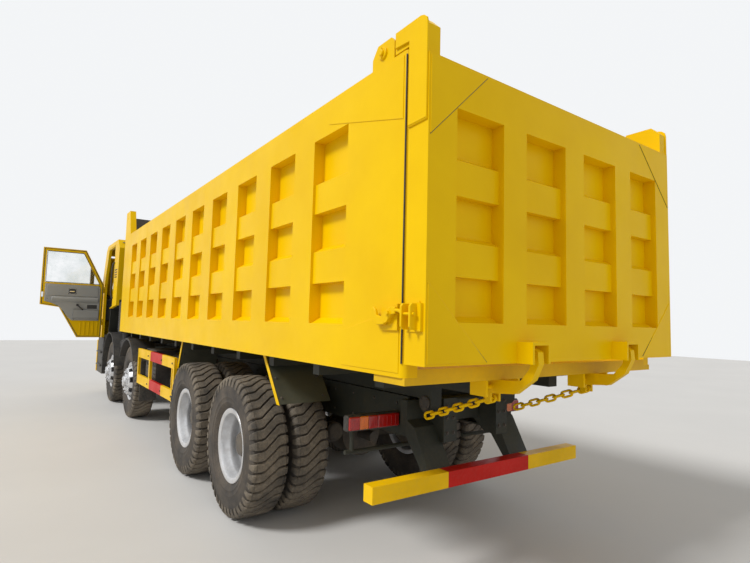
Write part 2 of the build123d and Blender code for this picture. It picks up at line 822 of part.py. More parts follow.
def bed_floor():
    front = bed_front_y + headboard_thickness + seat_gap
    reach = side_inner_x - seat_gap
    plate = block(-reach, reach, front, bed_rear_y, bed_bottom_z, bed_bottom_z + floor_thickness)
    y_floor = niche_points()[1]
    niche = block(-niche_half_width, niche_half_width, front - overrun, y_floor + niche_wall + seat_gap,
                  bed_bottom_z - overrun, bed_bottom_z + floor_thickness + overrun)
    sill = block(-sill_half, sill_half, sill_front_y, bed_rear_y, sill_bottom_z, bed_bottom_z - seat_gap)
    sill_core = block(-reach, reach, sill_front_y, bed_rear_y, sill_bottom_z, bed_bottom_z)
    return joined([plate - niche, sill, sill_core])


def bed_headboard():
    reach = side_inner_x - seat_gap
    y0 = bed_front_y
    y1 = bed_front_y + headboard_thickness
    wall = block(-reach, reach, y0, y1, bed_bottom_z, headboard_top_z)
    y_top, y_floor = niche_points()
    half = niche_half_width
    opening = block(-half + niche_wall, half - niche_wall, y0 - overrun, y1 + overrun,
                    bed_bottom_z - overrun, hoist_top_z - hoist_radii[0])
    top_z = hoist_top_z - hoist_radii[0]
    cover = side_plate(((y0, bed_bottom_z), (y_floor + niche_wall, bed_bottom_z),
                        (y1, top_z + niche_wall), (y0, top_z + niche_wall)), -half, half)
    inside = side_plate(((y0 - overrun, bed_bottom_z - overrun), (y_floor, bed_bottom_z - overrun),
                         (y_floor, bed_bottom_z), (y0 + overrun, top_z), (y0 - overrun, top_z)),
                        -half + niche_wall, half - niche_wall)
    whole = joined([wall - opening, cover - inside])
    ear_x = hoist_eye_half + hoist_ear_gap
    ear = side_plate(((hoist_y - hoist_pin_radius, hoist_top_z - hoist_pin_radius * 2),
                      (y0 + seat_gap, top_z), (y0 + seat_gap, headboard_top_z - overrun),
                      (hoist_y - hoist_pin_radius * 2, hoist_top_z + hoist_pin_radius * 2)),
                     ear_x, ear_x + hoist_ear_thickness)
    return joined([whole, *both(ear)])


def bed_subframe():
    rail_low = frame_top_z + subframe_gap
    rail_high = rail_low + subframe_rail_height
    inner = subframe_half - subframe_rail_width
    front = bed_front_y + headboard_thickness
    rear = hinge_y + hinge_shaft_radius
    rail = block(inner, subframe_half, front, rear, rail_low, rail_high)
    eye = bar_x(hinge_shaft_radius * 2, inner, subframe_half, hinge_y, hinge_z)
    cheek = block(inner, subframe_half, hinge_y - hinge_shaft_radius * 2, hinge_y + hinge_shaft_radius * 2,
                  hinge_z, rail_high)
    first = niche_points()[1] + niche_wall + overrun
    last = sill_front_y - bearer_width - overrun
    tail = block(inner, subframe_half, rear - overrun, last + bearer_width, rail_high - cross_width, rail_high)
    bore = bar_x(hinge_shaft_radius + shaft_gap, inner - overrun, subframe_half + overrun, hinge_y, hinge_z)
    pieces = both(joined([rail, eye, cheek, tail]) - bore)
    reach = side_inner_x - seat_gap
    for i in range(bearer_count):
        y = first + i * (last - first) / (bearer_count - 1)
        pieces.append(block(-reach, reach, y, y + bearer_width, rail_high + seat_gap, bed_bottom_z - seat_gap))
    return pieces


def bed_mudguards():
    """Slanted plates under the bed, before and behind the rear wheels."""
    pieces = []
    top_z = bed_bottom_z - seat_gap
    rear_y = rear_axle_y[2]
    front_y = rear_axle_y[1]
    # y at the top, y at the low edge, z of the low edge
    plates = ((rear_y + flap_rear_top, rear_y + flap_rear_low, flap_rear_low_z),
              (front_y - flap_front_top, front_y - flap_front_low, flap_front_low_z))
    for top_y, low_y, low_z in plates:
        outline = ((top_y, top_z), (top_y + flap_thickness, top_z), (low_y + flap_thickness, low_z), (low_y, low_z))
        pieces += both(side_plate(outline, flap_inner_x, flap_outer_x))
    return pieces


def bed_hooks():
    """The curved hooks under the rear sill, with their bearing plates."""
    front_y = sill_front_y + hook_bracket_half
    length = gate_rear_y + hook_reach - front_y
    outline = [(front_y + y * length, hook_bracket_z + z * hook_height) for y, z in hook_shares]
    plates = [side_plate(outline, hook_x - hook_thickness / 2, hook_x + hook_thickness / 2)]
    for x in (hook_x - hook_bracket_half, hook_x + hook_bracket_half):
        plates.append(block(x - hook_plate / 2, x + hook_plate / 2, front_y, bed_rear_y,
                            hook_bracket_z, sill_bottom_z - seat_gap))
    plates.append(bar_x(keeper_radius, hook_x - hook_bracket_half, hook_x + hook_bracket_half,
                        front_y + hook_keeper_share * (bed_rear_y - front_y),
                        (hook_bracket_z + sill_bottom_z) / 2))
    hooks = both(joined(plates))
    return [joined([hook, anchor]) for hook, anchor in zip(hooks, chain_anchors())]


def tailgate():
    slab = block(-side_x, side_x, gate_front_y, gate_rear_y, gate_bottom_z, gate_top_z)
    low = gate_rows[-1][0]
    high = gate_rows[0][1]
    edges = [-gate_post_inner]
    for centre in (-gate_rib_x, 0, gate_rib_x):
        edges += [centre - gate_rib_width / 2, centre + gate_rib_width / 2]
    edges.append(gate_post_inner)
    cuts = []
    for x0, x1 in zip(edges[0::2], edges[1::2]):
        cuts.append(block(x0, x1, gate_rear_y - gate_recess, gate_rear_y + overrun, low, high))
        for row_low, row_high in gate_rows:
            outline = pocket_profile(gate_rear_y, gate_pocket_depth, row_low, row_high, gate_recess)
            cuts.append(side_plate(outline, x0, x1))
    for x in (hook_x, -hook_x):
        half = hook_thickness / 2 + hook_slot_gap
        cuts.append(block(x - half, x + half, gate_front_y - overrun, gate_rear_y + overrun,
                          gate_bottom_z - overrun, hook_cap_z - hook_plate))
    slab = slab.cut(*cuts)
    pieces = [slab, *both(gate_arm())]
    for x in (hook_x, -hook_x):
        pieces += keeper(x)
    pieces += both(gate_lug())
    return joined(pieces)


def gate_arm():
    middle = side_x - arm_width / 2
    body = side_plate(((bracket_rear_y + move_gap * 2, arm_bottom_z), (bracket_rear_y + move_gap * 2, arm_top_z),
                       (arm_rear_y - arm_round, arm_top_z), (arm_rear_y, arm_top_z - arm_round),
                       (arm_rear_y, gate_top_z - overrun), (gate_front_y, gate_top_z - overrun),
                       (gate_front_y, arm_bottom_z)),
                      side_x - arm_width, side_x)
    tongue = side_plate(((gate_pivot_y, gate_pivot_z - arm_eye_radius), (gate_pivot_y, gate_pivot_z + arm_eye_radius),
                         (bracket_rear_y + arm_round, gate_pivot_z + arm_eye_radius),
                         (bracket_rear_y + arm_round, gate_pivot_z - arm_eye_radius)),
                        middle - arm_tongue / 2, middle + arm_tongue / 2)
    eye = bar_x(arm_eye_radius, middle - arm_tongue / 2, middle + arm_tongue / 2, gate_pivot_y, gate_pivot_z)
    bore = bar_x(pivot_radius + shaft_gap, middle - arm_width, middle + arm_width, gate_pivot_y, gate_pivot_z)
    return joined([body, tongue, eye]) - bore


def keeper(x):
    """The bracket in which the hook's tip stands: two plates and a cap."""
    half = hook_plate_gap / 2
    outline = ((gate_rear_y, gate_bottom_z), (gate_rear_y + hook_plate_reach, gate_bottom_z),
               (gate_rear_y + hook_plate_reach, hook_cap_z), (gate_rear_y, hook_cap_z))
    plates = [side_plate(outline, x + half, x + half + hook_plate),
              side_plate(outline, x - half - hook_plate, x - half)]
    cap = block(x - half, x + half, gate_rear_y, gate_rear_y + hook_plate_reach,
                hook_cap_z - hook_plate, hook_cap_z)
    return [*plates, cap]


def gate_lug():
    return block(side_x, side_x + hook_plate, gate_rear_y - latch_height / 2, gate_rear_y - hook_plate,
                 latch_z, latch_z + latch_height)


def chain(start, end):
    """Flat-sided oval links between two end pins, each turned a quarter from the last."""
    run = start - end
    reach = link_slot_half()    # from an end pin's centre to the link's inner end
    taut = run.length + 2 * reach - seat_gap
    count = round(taut / chain_pitch / 2) * 2 + 1
    pitch = taut / count
    slot_half = pitch / 2 + seat_gap / 2
    links = []
    for i in range(count):
        from_pin = pitch * (i + 1 / 2) + seat_gap / 2 - reach
        spot = Plane(origin=end + run.normalized() * from_pin, x_dir=(1, 0, 0), z_dir=run)
        turn = Rot(0, 0, 90 * (i % 2 + 1)) * Rot(90, 0, 0)
        links.append(spot * turn * chain_link(slot_half))
    return links


def chain_link(slot_half):
    """A link whose inner slot has this half length, lying in the XY plane."""
    wide = chain_half_width + chain_bar_radius
    long = slot_half + 2 * chain_bar_radius
    cut = wide * (2 - sqrt(2))      # makes each end half an octagon
    corner = ((wide, long - cut), (wide - cut, long), (cut - wide, long), (-wide, long - cut))
    outline = [*corner, *[(-x, -y) for x, y in corner]]
    link = extrude(make_face(Polyline(*outline, close=True)), amount=chain_bar_radius, both=True)
    return link - Box(2 * link_slot_half(), 2 * slot_half, 4 * chain_bar_radius)


def link_slot_half():
    """Half the width of a link's slot."""
    return chain_half_width - chain_bar_radius


def chain_ends(name):
    """The centres of a chain's two end pins: at the chassis, and under the hook's bearing plate."""
    x, y, z, top_x = chain_places[name]
    return Vector(x, y, z), Vector(top_x, chain_top_y, hook_bracket_z - chain_anchor_drop)


def chains():
    links = []
    for name in chain_places:
        links += chain(*chain_ends(name))
    return links


def chain_anchors():
    """A pin through each chain's top link, between two cheeks under the hook's bearing plate."""
    anchors = []
    for name in chain_places:
        low, top = chain_ends(name)
        half = chain_cheek_half
        spot = Plane(origin=top, x_dir=(1, 0, 0), z_dir=low - top)
        parts = [spot * Rot(0, 90, 0) * Cylinder(link_slot_half() - seat_gap, 2 * (half + hook_plate))]
        for x in (top.X - half - hook_plate, top.X + half):
            parts.append(block(x, x + hook_plate, top.Y - chain_cheek_depth / 2, top.Y + chain_cheek_depth / 2,
                               top.Z - chain_cheek_drop, sill_bottom_z - seat_gap))
        anchors.append(joined(parts))
    return anchors


# Cab

def cab_outline(step_y, lean):
    """The cab from the side: its step starts this far behind the hinge, and leans back this much."""
    return ((cab_front_y, cab_floor_z), (cab_front_y, cab_belt_z - cab_corner_radius),
            (screen_foot_y, cab_belt_z), (screen_head_y, screen_head_z),
            (screen_head_y + cab_corner_radius, cab_roof_z),
            (cab_rear_y - cab_corner_radius, cab_roof_z), (cab_rear_y, cab_roof_z - cab_corner_radius),
            (cab_rear_y, cab_tail_z), (door_hinge_y + step_y + lean, cab_tail_z - door_frame),
            (door_hinge_y + step_y, cab_floor_z))


def door_outline(grow):
    """The closed door seen from the side, grown by a gap."""
    y = door_hinge_y
    return ((y - grow, cab_floor_z - grow), (y - grow, door_sill_z), (y + door_pillar_lean - grow, door_top_z + grow),
            (y + door_width + grow, door_top_z + grow), (y + door_width + grow, door_latch_z - grow),
            (y + door_arch_y + grow, door_arch_z - grow),
            (y + door_bottom_length + grow, cab_floor_z - grow))


def cab_sides():
    inner = cab_half_width - cab_wall
    wall = side_plate(cab_outline(door_bottom_length, door_arch_y - door_bottom_length), inner, cab_half_width)
    opening = side_plate(door_outline(door_gap), inner - overrun, cab_half_width + overrun)
    pieces = [wall - opening]
    for z in hinge_low_z:
        pieces.append(hinge_half(z, -1))
        pieces.append(bar_z(hinge_pin_radius, z, z + 2 * hinge_leaf, hinge_x, hinge_line_y))
    return both(joined(pieces))


def hinge_half(z, side):
    """Leaf and barrel of a door hinge: side -1 is the pillar's lower half, side 1 the door's upper half."""
    low = z if side < 0 else z + hinge_leaf + seat_gap
    high = low + hinge_leaf - seat_gap
    near_y = hinge_line_y + side * (hinge_line_gap + seat_gap)
    leaf = block(cab_half_width, hinge_x, near_y, near_y + side * hinge_leaf, low, high)
    neck = block(hinge_x - hinge_barrel_radius / 2, hinge_x, hinge_line_y, near_y + side * hinge_leaf, low, high)
    return joined([leaf, neck, bar_z(hinge_barrel_radius, low, high, hinge_x, hinge_line_y)])


def cab_core(inset):
    """The space between the cab's side walls, inset from its outline."""
    face = make_face(Polyline(*cab_outline(cab_step_y, cab_step_lean), close=True))
    if inset:
        face = offset(face, amount=-inset)
    half = cab_half_width - cab_wall - seat_gap
    return extrude(Plane.YZ.offset(-half) * face, amount=2 * half)


def cab_panels():
    """Floor, front, rear wall and roof, cut from one hollow section where the real panels meet."""
    ring = cab_core(0) - cab_core(cab_wall)
    wide = cab_half_width + overrun
    low = cab_tail_z + cab_wall * 2
    g = seat_gap / 2
    split_front = door_hinge_y - door_frame
    far = cab_front_y - overrun
    back = cab_rear_y + overrun
    top = cab_roof_z + overrun
    head = screen_head_z - window_margin
    floor = ring & block(-wide, wide, cab_front_y + cab_wall + g, back, 0, low - g)
    front = ring & block(-wide, wide, far, split_front, cab_floor_z, head - g)
    front = front - block(-wide, wide, cab_front_y + cab_wall - g, back, 0, cab_floor_z + cab_wall)
    roof = ring & block(-wide, wide, far, back, head + g, top)
    rear = ring & block(-wide, wide, cab_rear_y - cab_wall * 2, back, low + g, head + g)
    tunnel_x = tunnel_half
    outside = block(-tunnel_x, tunnel_x, cab_front_y + cab_wall + g, tunnel_rear_y, cab_floor_z, tunnel_top_z)
    hollow = block(-tunnel_x + cab_wall / 2, tunnel_x - cab_wall / 2, cab_front_y, tunnel_rear_y - cab_wall / 2,
                   cab_floor_z - overrun, tunnel_top_z - cab_wall / 2)
    floor = joined([floor, outside]) - hollow
    return floor, front, rear, roof


def screen_opening():
    """A slanted slot through the front panel for the windscreen."""
    lean = Vector(0, screen_head_y - screen_foot_y, screen_head_z - cab_belt_z)
    unit = lean.normalized()
    low = Vector(0, screen_foot_y, cab_belt_z) + unit * window_margin
    high = Vector(0, screen_head_y, screen_head_z) - unit * window_margin * 2
    half = cab_half_width - cab_wall - window_margin * 2
    return low, high, unit, half


def windscreen(depth, half, low, high, inset):
    run = high - low
    normal = Vector(0, -run.Z, run.Y).normalized()
    spot = Plane(origin=(low + high) / 2 - normal * inset, x_dir=(1, 0, 0), z_dir=normal)
    return spot * Box(half * 2, run.length, depth)


def cab_windows(front, rear):
    low, high, unit, half = screen_opening()
    cut = windscreen(cab_wall * 4, half, low, high, cab_wall)
    glass = windscreen(glass_thickness, half - seat_gap, low + unit * seat_gap, high - unit * seat_gap,
                       cab_wall / 2)
    window_low = door_sill_z
    window_high = door_top_z - window_margin * 2
    rear_half = half / 2
    hole = block(-rear_half, rear_half, cab_rear_y - cab_wall * 2, cab_rear_y + overrun, window_low, window_high)
    middle = cab_rear_y - cab_wall / 2
    pane = block(-rear_half + seat_gap, rear_half - seat_gap, middle - glass_thickness / 2,
                 middle + glass_thickness / 2, window_low + seat_gap, window_high - seat_gap)
    return front - cut, rear - hole, [glass, pane]


def door():
    """Panel, trim with mirror, and glass of a closed left door; the right one is its mirror image."""
    inner = cab_half_width - cab_wall
    split = inner + door_trim_thickness
    outline = door_outline(0)
    window = window_outline(0)
    shell = side_plate(outline, split + seat_gap, cab_half_width)
    panel = shell - side_plate(window, inner - overrun, cab_half_width + overrun)
    bores = [bar_z(hinge_pin_radius + shaft_gap, z, z + 3 * hinge_leaf, hinge_x, hinge_line_y)
             for z in hinge_low_z]
    panel = joined([panel, *[hinge_half(z, 1) for z in hinge_low_z]]).cut(*bores)
    trim_face = side_plate(trim_outline(), inner, split)
    pull = block(inner - door_trim_thickness, inner + seat_gap, door_hinge_y + door_frame * 2,
                 door_hinge_y + door_width - door_frame * 3, door_sill_z - door_frame * 4,
                 door_sill_z - door_frame * 3)
    mid = (split + cab_half_width) / 2
    glass = side_plate(window_outline(seat_gap), mid - glass_thickness / 2, mid + glass_thickness / 2)
    return [panel], [joined([trim_face, pull]), mirror_set()], [glass]


def window_outline(inset):
    y = door_hinge_y
    frame = door_frame + inset
    lean = door_pillar_lean / (door_top_z - door_sill_z)
    foot = y + frame * 1.3
    return ((foot, door_sill_z + inset), (foot + (door_top_z - door_sill_z - frame) * lean, door_top_z - frame),
            (y + door_width - frame, door_top_z - frame), (y + door_width - frame, door_sill_z + inset))


def trim_outline():
    y = door_hinge_y
    frame = door_frame
    return ((y + frame, cab_floor_z + door_frame * 3), (y + frame, door_sill_z - seat_gap),
            (y + door_width - frame, door_sill_z - seat_gap),
            (y + door_width - frame, door_latch_z + frame), (y + door_arch_y - frame, door_arch_z + frame / 2),
            (y + door_bottom_length, cab_floor_z + door_frame * 3))


def mirror_set():
    """The mirror housing on two arms, outside the door."""
    outer = cab_half_width + mirror_out
    y0 = door_hinge_y + mirror_along
    housing = block(outer - mirror_length / 2, outer + mirror_length / 2, y0 - mirror_depth / 2,
                    y0 + mirror_depth / 2, mirror_bottom_z, mirror_bottom_z + mirror_height)
    housing = fillet(housing.edges().filter_by(Axis.Z), mirror_depth / 4)
    arms = []
    for z in (mirror_bottom_z + mirror_height / 8, mirror_bottom_z + mirror_height * 7 / 8):
        arms.append(bar_x(mirror_arm_radius, cab_half_width + seat_gap, outer, y0, z))
    return joined([housing, *arms])


def swung(shape, angle):
    """A left door piece turned open about its hinge line."""
    hinge = Pos(hinge_x, hinge_line_y, 0)
    back = Pos(-hinge_x, -hinge_line_y, 0)
    return hinge * Rot(0, 0, -angle) * back * shape


def front_bumper():
    rear_y = bumper_front_y + bumper_depth
    bar = block(-bumper_half, bumper_half, bumper_front_y, rear_y, bumper_bottom_z, bumper_top_z)
    corners = bar.edges().filter_by(Axis.Z).sort_by(Axis.Y)[:2]
    bar = fillet(corners, bumper_round)
    for side in (1, -1):
        bar = bar - block(side * (headlamp_inner_x - seat_gap), side * (headlamp_outer_x + seat_gap),
                          bumper_front_y - overrun, bumper_front_y + bumper_depth / 2,
                          headlamp_bottom_z - seat_gap, headlamp_bottom_z + headlamp_height + seat_gap)
    horns = block(frame_half_width - rail_flange, frame_half_width, rear_y, frame_front_y - seat_gap,
                  frame_bottom_z, frame_top_z - seat_gap)
    return joined([bar, *both(horns), *both(tow_lug())])


def tow_lug():
    """The plate under the bumper that takes a shackle's pin."""
    middle_y = bumper_front_y + bumper_depth / 2
    middle_z = bumper_bottom_z - tow_drop
    plate = block(tow_x - tow_thickness / 2, tow_x + tow_thickness / 2, middle_y - tow_half, middle_y + tow_half,
                  middle_z, bumper_bottom_z + overrun)
    plate += bar_x(tow_half, tow_x - tow_thickness / 2, tow_x + tow_thickness / 2, middle_y, middle_z)
    return plate - bar_x(tow_radius, tow_x - tow_thickness, tow_x + tow_thickness, middle_y, middle_z)


def front_grille():
    y1 = cab_front_y - seat_gap
    y0 = y1 - grille_bar_depth
    bars = []
    for i in range(grille_bar_count):
        z = grille_bottom_z + i * grille_bar_pitch
        bars.append(block(-grille_half, grille_half, y0, y1, z, z + grille_bar_height))
    top = grille_bottom_z + (grille_bar_count - 1) * grille_bar_pitch + grille_bar_height
    for x in (-grille_half, grille_half - grille_bar_height):
        bars.append(block(x, x + grille_bar_height, y0, y1, grille_bottom_z, top))
    return joined(bars)


def headlamps():
    lamp = block(headlamp_inner_x, headlamp_outer_x, bumper_front_y + move_gap, bumper_front_y + bumper_depth / 2
                 - seat_gap, headlamp_bottom_z, headlamp_bottom_z + headlamp_height)
    return both(lamp)


def front_fenders():
    """Arches over the wheels of both front axles, with the step boxes before the first."""
    pieces = []
    for number, y in front_axle_y.items():
        radius = arch_radii[number]
        ring = bar_x(radius + arch_thickness, arch_inner_x, arch_outer_x, y, axle_z)
        ring = ring - bar_x(radius, arch_inner_x - overrun, arch_outer_x + overrun, y, axle_z)
        reach = radius + arch_thickness + overrun
        arch = ring & block(arch_inner_x, arch_outer_x, y - reach, y + reach,
                            axle_z + arch_rises[number], axle_z + reach)
        arm_z = axle_z + radius
        arm = block(frame_half_width + seat_gap, arch_inner_x + overrun, y - arch_arm_half, y + arch_arm_half,
                    arm_z, arm_z + arch_thickness)
        drop = block(frame_half_width + seat_gap, frame_half_width + arch_thickness, y - arch_arm_half,
                     y + arch_arm_half, frame_top_z - cross_height, arm_z + arch_thickness)
        pieces.append(joined([arch, arm, drop]))
        if number == 1:
            step = block(arch_inner_x, arch_outer_x, bumper_front_y + bumper_depth + seat_gap, y - radius,
                         bumper_bottom_z, cab_floor_z - seat_gap)
            pieces[-1] = joined([pieces[-1], step])
    return [shape for piece in pieces for shape in both(piece)]


def seats():
    pieces = []
    base_z = cab_floor_z + cab_wall + seat_gap
    for x in (seat_x, -seat_x):
        x0 = x - seat_width / 2
        x1 = x + seat_width / 2
        cushion = block(x0, x1, seat_front_y, seat_front_y + seat_depth, seat_bottom_z,
                        seat_bottom_z + seat_cushion_height)
        back = block(x0, x1, seat_front_y + seat_depth - seat_back_thickness, seat_front_y + seat_depth,
                     seat_bottom_z, seat_bottom_z + seat_back_height)
        foot = block(x - seat_width / 4, x + seat_width / 4, seat_front_y + seat_back_thickness,
                     seat_front_y + seat_depth - seat_back_thickness * 2, base_z, seat_bottom_z)
        pieces.append(joined([cushion, back, foot]))
    return pieces


def dashboard():
    half = cab_half_width - cab_wall - seat_gap * 2
    front = cab_front_y + cab_wall + seat_gap
    body = side_plate(((front, dash_bottom_z), (front, cab_belt_z - cab_corner_radius - cab_wall),
                       (screen_foot_y + cab_wall * 2, dash_top_z), (dash_rear_y, dash_top_z - cab_wall * 2),
                       (dash_rear_y, dash_bottom_z)), -half, half)
    column = Vector(seat_x, dash_rear_y, dash_bottom_z + cab_wall * 4)
    hub = Vector(seat_x, steering_wheel_y, steering_wheel_z)
    run = hub - column
    shaft = Plane(origin=column, z_dir=run) * Pos(0, 0, run.length / 2) * Cylinder(steering_rim_radius * 2, run.length)
    spot = Plane(origin=hub, x_dir=(1, 0, 0), z_dir=run)
    ring = spot * steering_ring()
    spokes = spot * Box(steering_wheel_radius * 2, steering_rim_radius * 2, steering_rim_radius)
    return joined([body, shaft, ring, spokes])


def steering_ring():
    """The wheel's rim about Z: a hexagon in section."""
    corners = [2 * pi * i / 6 for i in range(6)]
    section = [(steering_wheel_radius + steering_rim_radius * cos(t), steering_rim_radius * sin(t)) for t in corners]
    return revolve(Plane.XZ * make_face(Polyline(*section, close=True)), axis=Axis.Z)


# Hoist

def hoist():
    """The tube, two stages and the rod, nested and standing upright."""
    top = hoist_top_z - hoist_pin_radius * 2
    low = hoist_base_z + hoist_pin_radius * 2
    pieces = []
    for i, radius in enumerate(hoist_radii):
        step = i * move_gap
        outer = bar_z(radius, low + step * 2, top - (len(hoist_radii) - 1 - i) * move_gap * 3, 0, hoist_y)
        if i < len(hoist_radii) - 1:
            bore_radius = hoist_radii[i + 1] + shaft_gap
            outer = outer - bar_z(bore_radius, low + step * 2 + move_gap, hoist_top_z, 0, hoist_y)
        pieces.append(outer)
    foot = bar_x(hoist_pin_radius * 2, -hoist_radii[0], hoist_radii[0], hoist_y, hoist_base_z)
    pin = bar_x(hoist_pin_radius, -hoist_pin_half + shaft_gap, hoist_pin_half - shaft_gap, hoist_y, hoist_base_z)
    pieces[0] = joined([pieces[0], foot, pin])
    eye = bar_x(hoist_pin_radius * 1.6, -hoist_eye_half, hoist_eye_half, hoist_y, hoist_top_z)
    neck = bar_z(hoist_radii[-1], top - move_gap, hoist_top_z - hoist_pin_radius, 0, hoist_y)
    pieces[-1] = joined([pieces[-1], neck, eye])
    return pieces


def build():
    """Every piece by its node's name, in the modelling frame."""
    nodes = {}
    nodes["chassis_frame"] = chassis_frame()
    nodes["frame_tail"] = frame_tail()
    nodes["front_axles"] = [front_axle(y) for y in front_axle_y.values()]
    nodes["rear_axles"] = [rear_axle(y) for y in rear_axle_y.values()]
    nodes["suspension"] = suspension()
    nodes["engine_block"] = block(-engine_half_width, engine_half_width, engine_front_y, engine_rear_y,
                                  engine_bottom_z, engine_top_z)
    nodes["driveline"] = driveline()
    nodes["side_tanks"] = side_tanks()
    nodes["side_guards"] = side_guards()
    nodes["rear_underrun"] = rear_underrun()
    nodes["tail_lamps"] = tail_lamps()
    for number, y in front_axle_y.items():
        for side in ("left", "right"):
            rubber, metal = front_wheel(y)
            nodes[f"knuckle_{number}_{side}"] = on_side(knuckle(y), side)
            nodes[f"front_tyre_{number}_{side}"] = on_side(rubber, side)
            nodes[f"front_rim_{number}_{side}"] = on_side(metal, side)
    for number, y in rear_axle_y.items():
        for side in ("left", "right"):
            rubber, metal = rear_wheel(y)
            nodes[f"rear_tyres_{number}_{side}"] = on_side(rubber, side)
            nodes[f"rear_rims_{number}_{side}"] = on_side(metal, side)
    nodes["bed_floor"] = bed_floor()
    nodes["bed_side_left"] = bed_side()
    nodes["bed_side_right"] = flipped(bed_side())
    nodes["bed_headboard"] = bed_headboard()
    nodes["bed_subframe"] = bed_subframe()
    nodes["bed_mudguards"] = bed_mudguards()
    nodes["bed_hooks"] = bed_hooks()
    nodes["chains"] = chains()
    nodes["tailgate"] = tailgate()
    floor, front, rear, roof = cab_panels()
    front, rear, glass = cab_windows(front, rear)
    nodes["cab_floor"] = floor
    nodes["cab_front"] = front
    nodes["cab_rear_and_roof"] = joined([rear, roof])
    nodes["cab_sides"] = cab_sides()
    nodes["cab_glass"] = glass
    nodes["front_bumper"] = front_bumper()
    nodes["front_grille"] = front_grille()
    nodes["headlamps"] = headlamps()
    nodes["front_fenders"] = front_fenders()
    nodes["seats"] = seats()
    nodes["dashboard"] = dashboard()
    for name, pieces in zip(("panel", "trim", "glass"), door()):
        nodes[f"door_left_{name}"] = [swung(piece, door_open_angle) for piece in pieces]
        nodes[f"door_right_{name}"] = [flipped(piece) for piece in pieces]
    for name, shape in zip(("tube", "stage_1", "stage_2", "rod"), hoist()):
        nodes[f"hoist_{name}"] = shape
    return nodes


def solids_of(shape):
    """The separate solids of a piece, or of a list of pieces."""
    pieces = shape if isinstance(shape, (list, tuple)) else [shape]
    return [solid for piece in pieces for solid in piece.solids()]


nodes = {name: solids_of(shape) for name, shape in build().items()}
boxes = [solid.bounding_box() for solids in nodes.values() for solid in solids]
left = max(box.max.X for box in boxes)
right = min(box.min.X for box in boxes)
front = min(box.min.Y for box in boxes)
rear = max(box.max.Y for box in boxes)
origin = Vector((left + right) / 2, (front + rear) / 2, 0)

shift = Pos(-origin.X, -origin.Y, 0)
for name, solids in nodes.items():
    placed = [shift * solid for solid in solids]
    export_step(placed[0] if len(placed) == 1 else Compound(placed), f"parts/{name}.step")

print("origin", origin.X, origin.Y)
print("hoist lean", hoist_lean(), "stage travel", hoist_stage_travel())
print("nodes", len(nodes))
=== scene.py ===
import json
from math import cos, pi, radians, sin
import bmesh
import bpy
from mathutils import Matrix, Vector

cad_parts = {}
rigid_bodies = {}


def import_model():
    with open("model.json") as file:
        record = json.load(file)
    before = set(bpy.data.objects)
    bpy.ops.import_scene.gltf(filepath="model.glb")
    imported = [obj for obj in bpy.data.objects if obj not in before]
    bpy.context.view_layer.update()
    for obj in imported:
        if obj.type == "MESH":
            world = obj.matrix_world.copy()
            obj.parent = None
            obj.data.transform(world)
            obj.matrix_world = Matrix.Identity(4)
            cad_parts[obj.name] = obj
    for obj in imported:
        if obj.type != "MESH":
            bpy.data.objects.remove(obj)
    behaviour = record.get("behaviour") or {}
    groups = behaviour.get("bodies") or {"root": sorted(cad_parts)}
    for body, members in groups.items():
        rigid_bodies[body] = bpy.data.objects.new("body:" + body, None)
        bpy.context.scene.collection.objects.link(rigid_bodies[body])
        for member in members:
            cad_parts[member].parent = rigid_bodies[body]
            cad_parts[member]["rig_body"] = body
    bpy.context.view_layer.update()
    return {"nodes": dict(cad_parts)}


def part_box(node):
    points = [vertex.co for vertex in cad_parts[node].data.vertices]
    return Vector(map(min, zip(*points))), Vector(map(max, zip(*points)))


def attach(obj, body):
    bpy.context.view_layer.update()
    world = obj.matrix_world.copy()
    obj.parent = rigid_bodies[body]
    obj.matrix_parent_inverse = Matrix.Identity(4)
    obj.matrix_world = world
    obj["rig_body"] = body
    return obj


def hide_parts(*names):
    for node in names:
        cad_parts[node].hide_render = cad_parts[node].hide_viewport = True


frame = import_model()
nodes = frame["nodes"]
print("frame loaded, nodes:", len(nodes))


def boxMiddle(node):
    low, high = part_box(node)
    return (low + high) / 2


# truck places are written from the rearmost axle, the ground and the middle plane
truckOrigin = Vector((boxMiddle("rear_underrun").x, boxMiddle("rear_tyres_2_left").y, 0))
sides = {"left": 1, "right": -1}


def onTruck(x, y, z):
    return truckOrigin + Vector((x, y, z))


def onSide(side):
    return lambda x, y, z: onTruck(sides[side] * x, y, z)


def newObject(name, data):
    made = bpy.data.objects.new(name, data)
    bpy.context.scene.collection.objects.link(made)
    return made


cameraLook = {
    "place": (2.733, 4.114, 1.598),   # metres, on the truck
    "yaw": 0.6201,
    "pitch": 0.08,
    "roll": 0.0245,
    "lens": 24.24,                    # for a 36 mm wide sensor
    "sensor": 36.0,
    "clipEnd": 200,
}


def setCamera(look):
    data = bpy.data.cameras.new("camera")
    data.lens, data.sensor_width, data.clip_end = look["lens"], look["sensor"], look["clipEnd"]
    yaw, pitch, roll = look["yaw"], look["pitch"], look["roll"]
    ahead = Vector((-sin(yaw) * cos(pitch), -cos(yaw) * cos(pitch), sin(pitch)))
    level = ahead.cross(Vector((0, 0, 1))).normalized()
    up = level.cross(ahead)
    right = level * cos(roll) + up * sin(roll)
    above = up * cos(roll) - level * sin(roll)
    matrix = Matrix((right, above, -ahead)).transposed().to_4x4()
    matrix.translation = onTruck(*look["place"])
    bpy.context.scene.camera = newObject("camera", data)
    bpy.context.scene.camera.matrix_world = matrix


# nodes of the materials and the world

def addNode(tree, kind, settings=None, inputs=None):
    node = tree.nodes.new("ShaderNode" + kind)
    for key, value in (settings or {}).items():
        setattr(node, key, value)
    setInputs(tree, node, inputs or {})
    return node


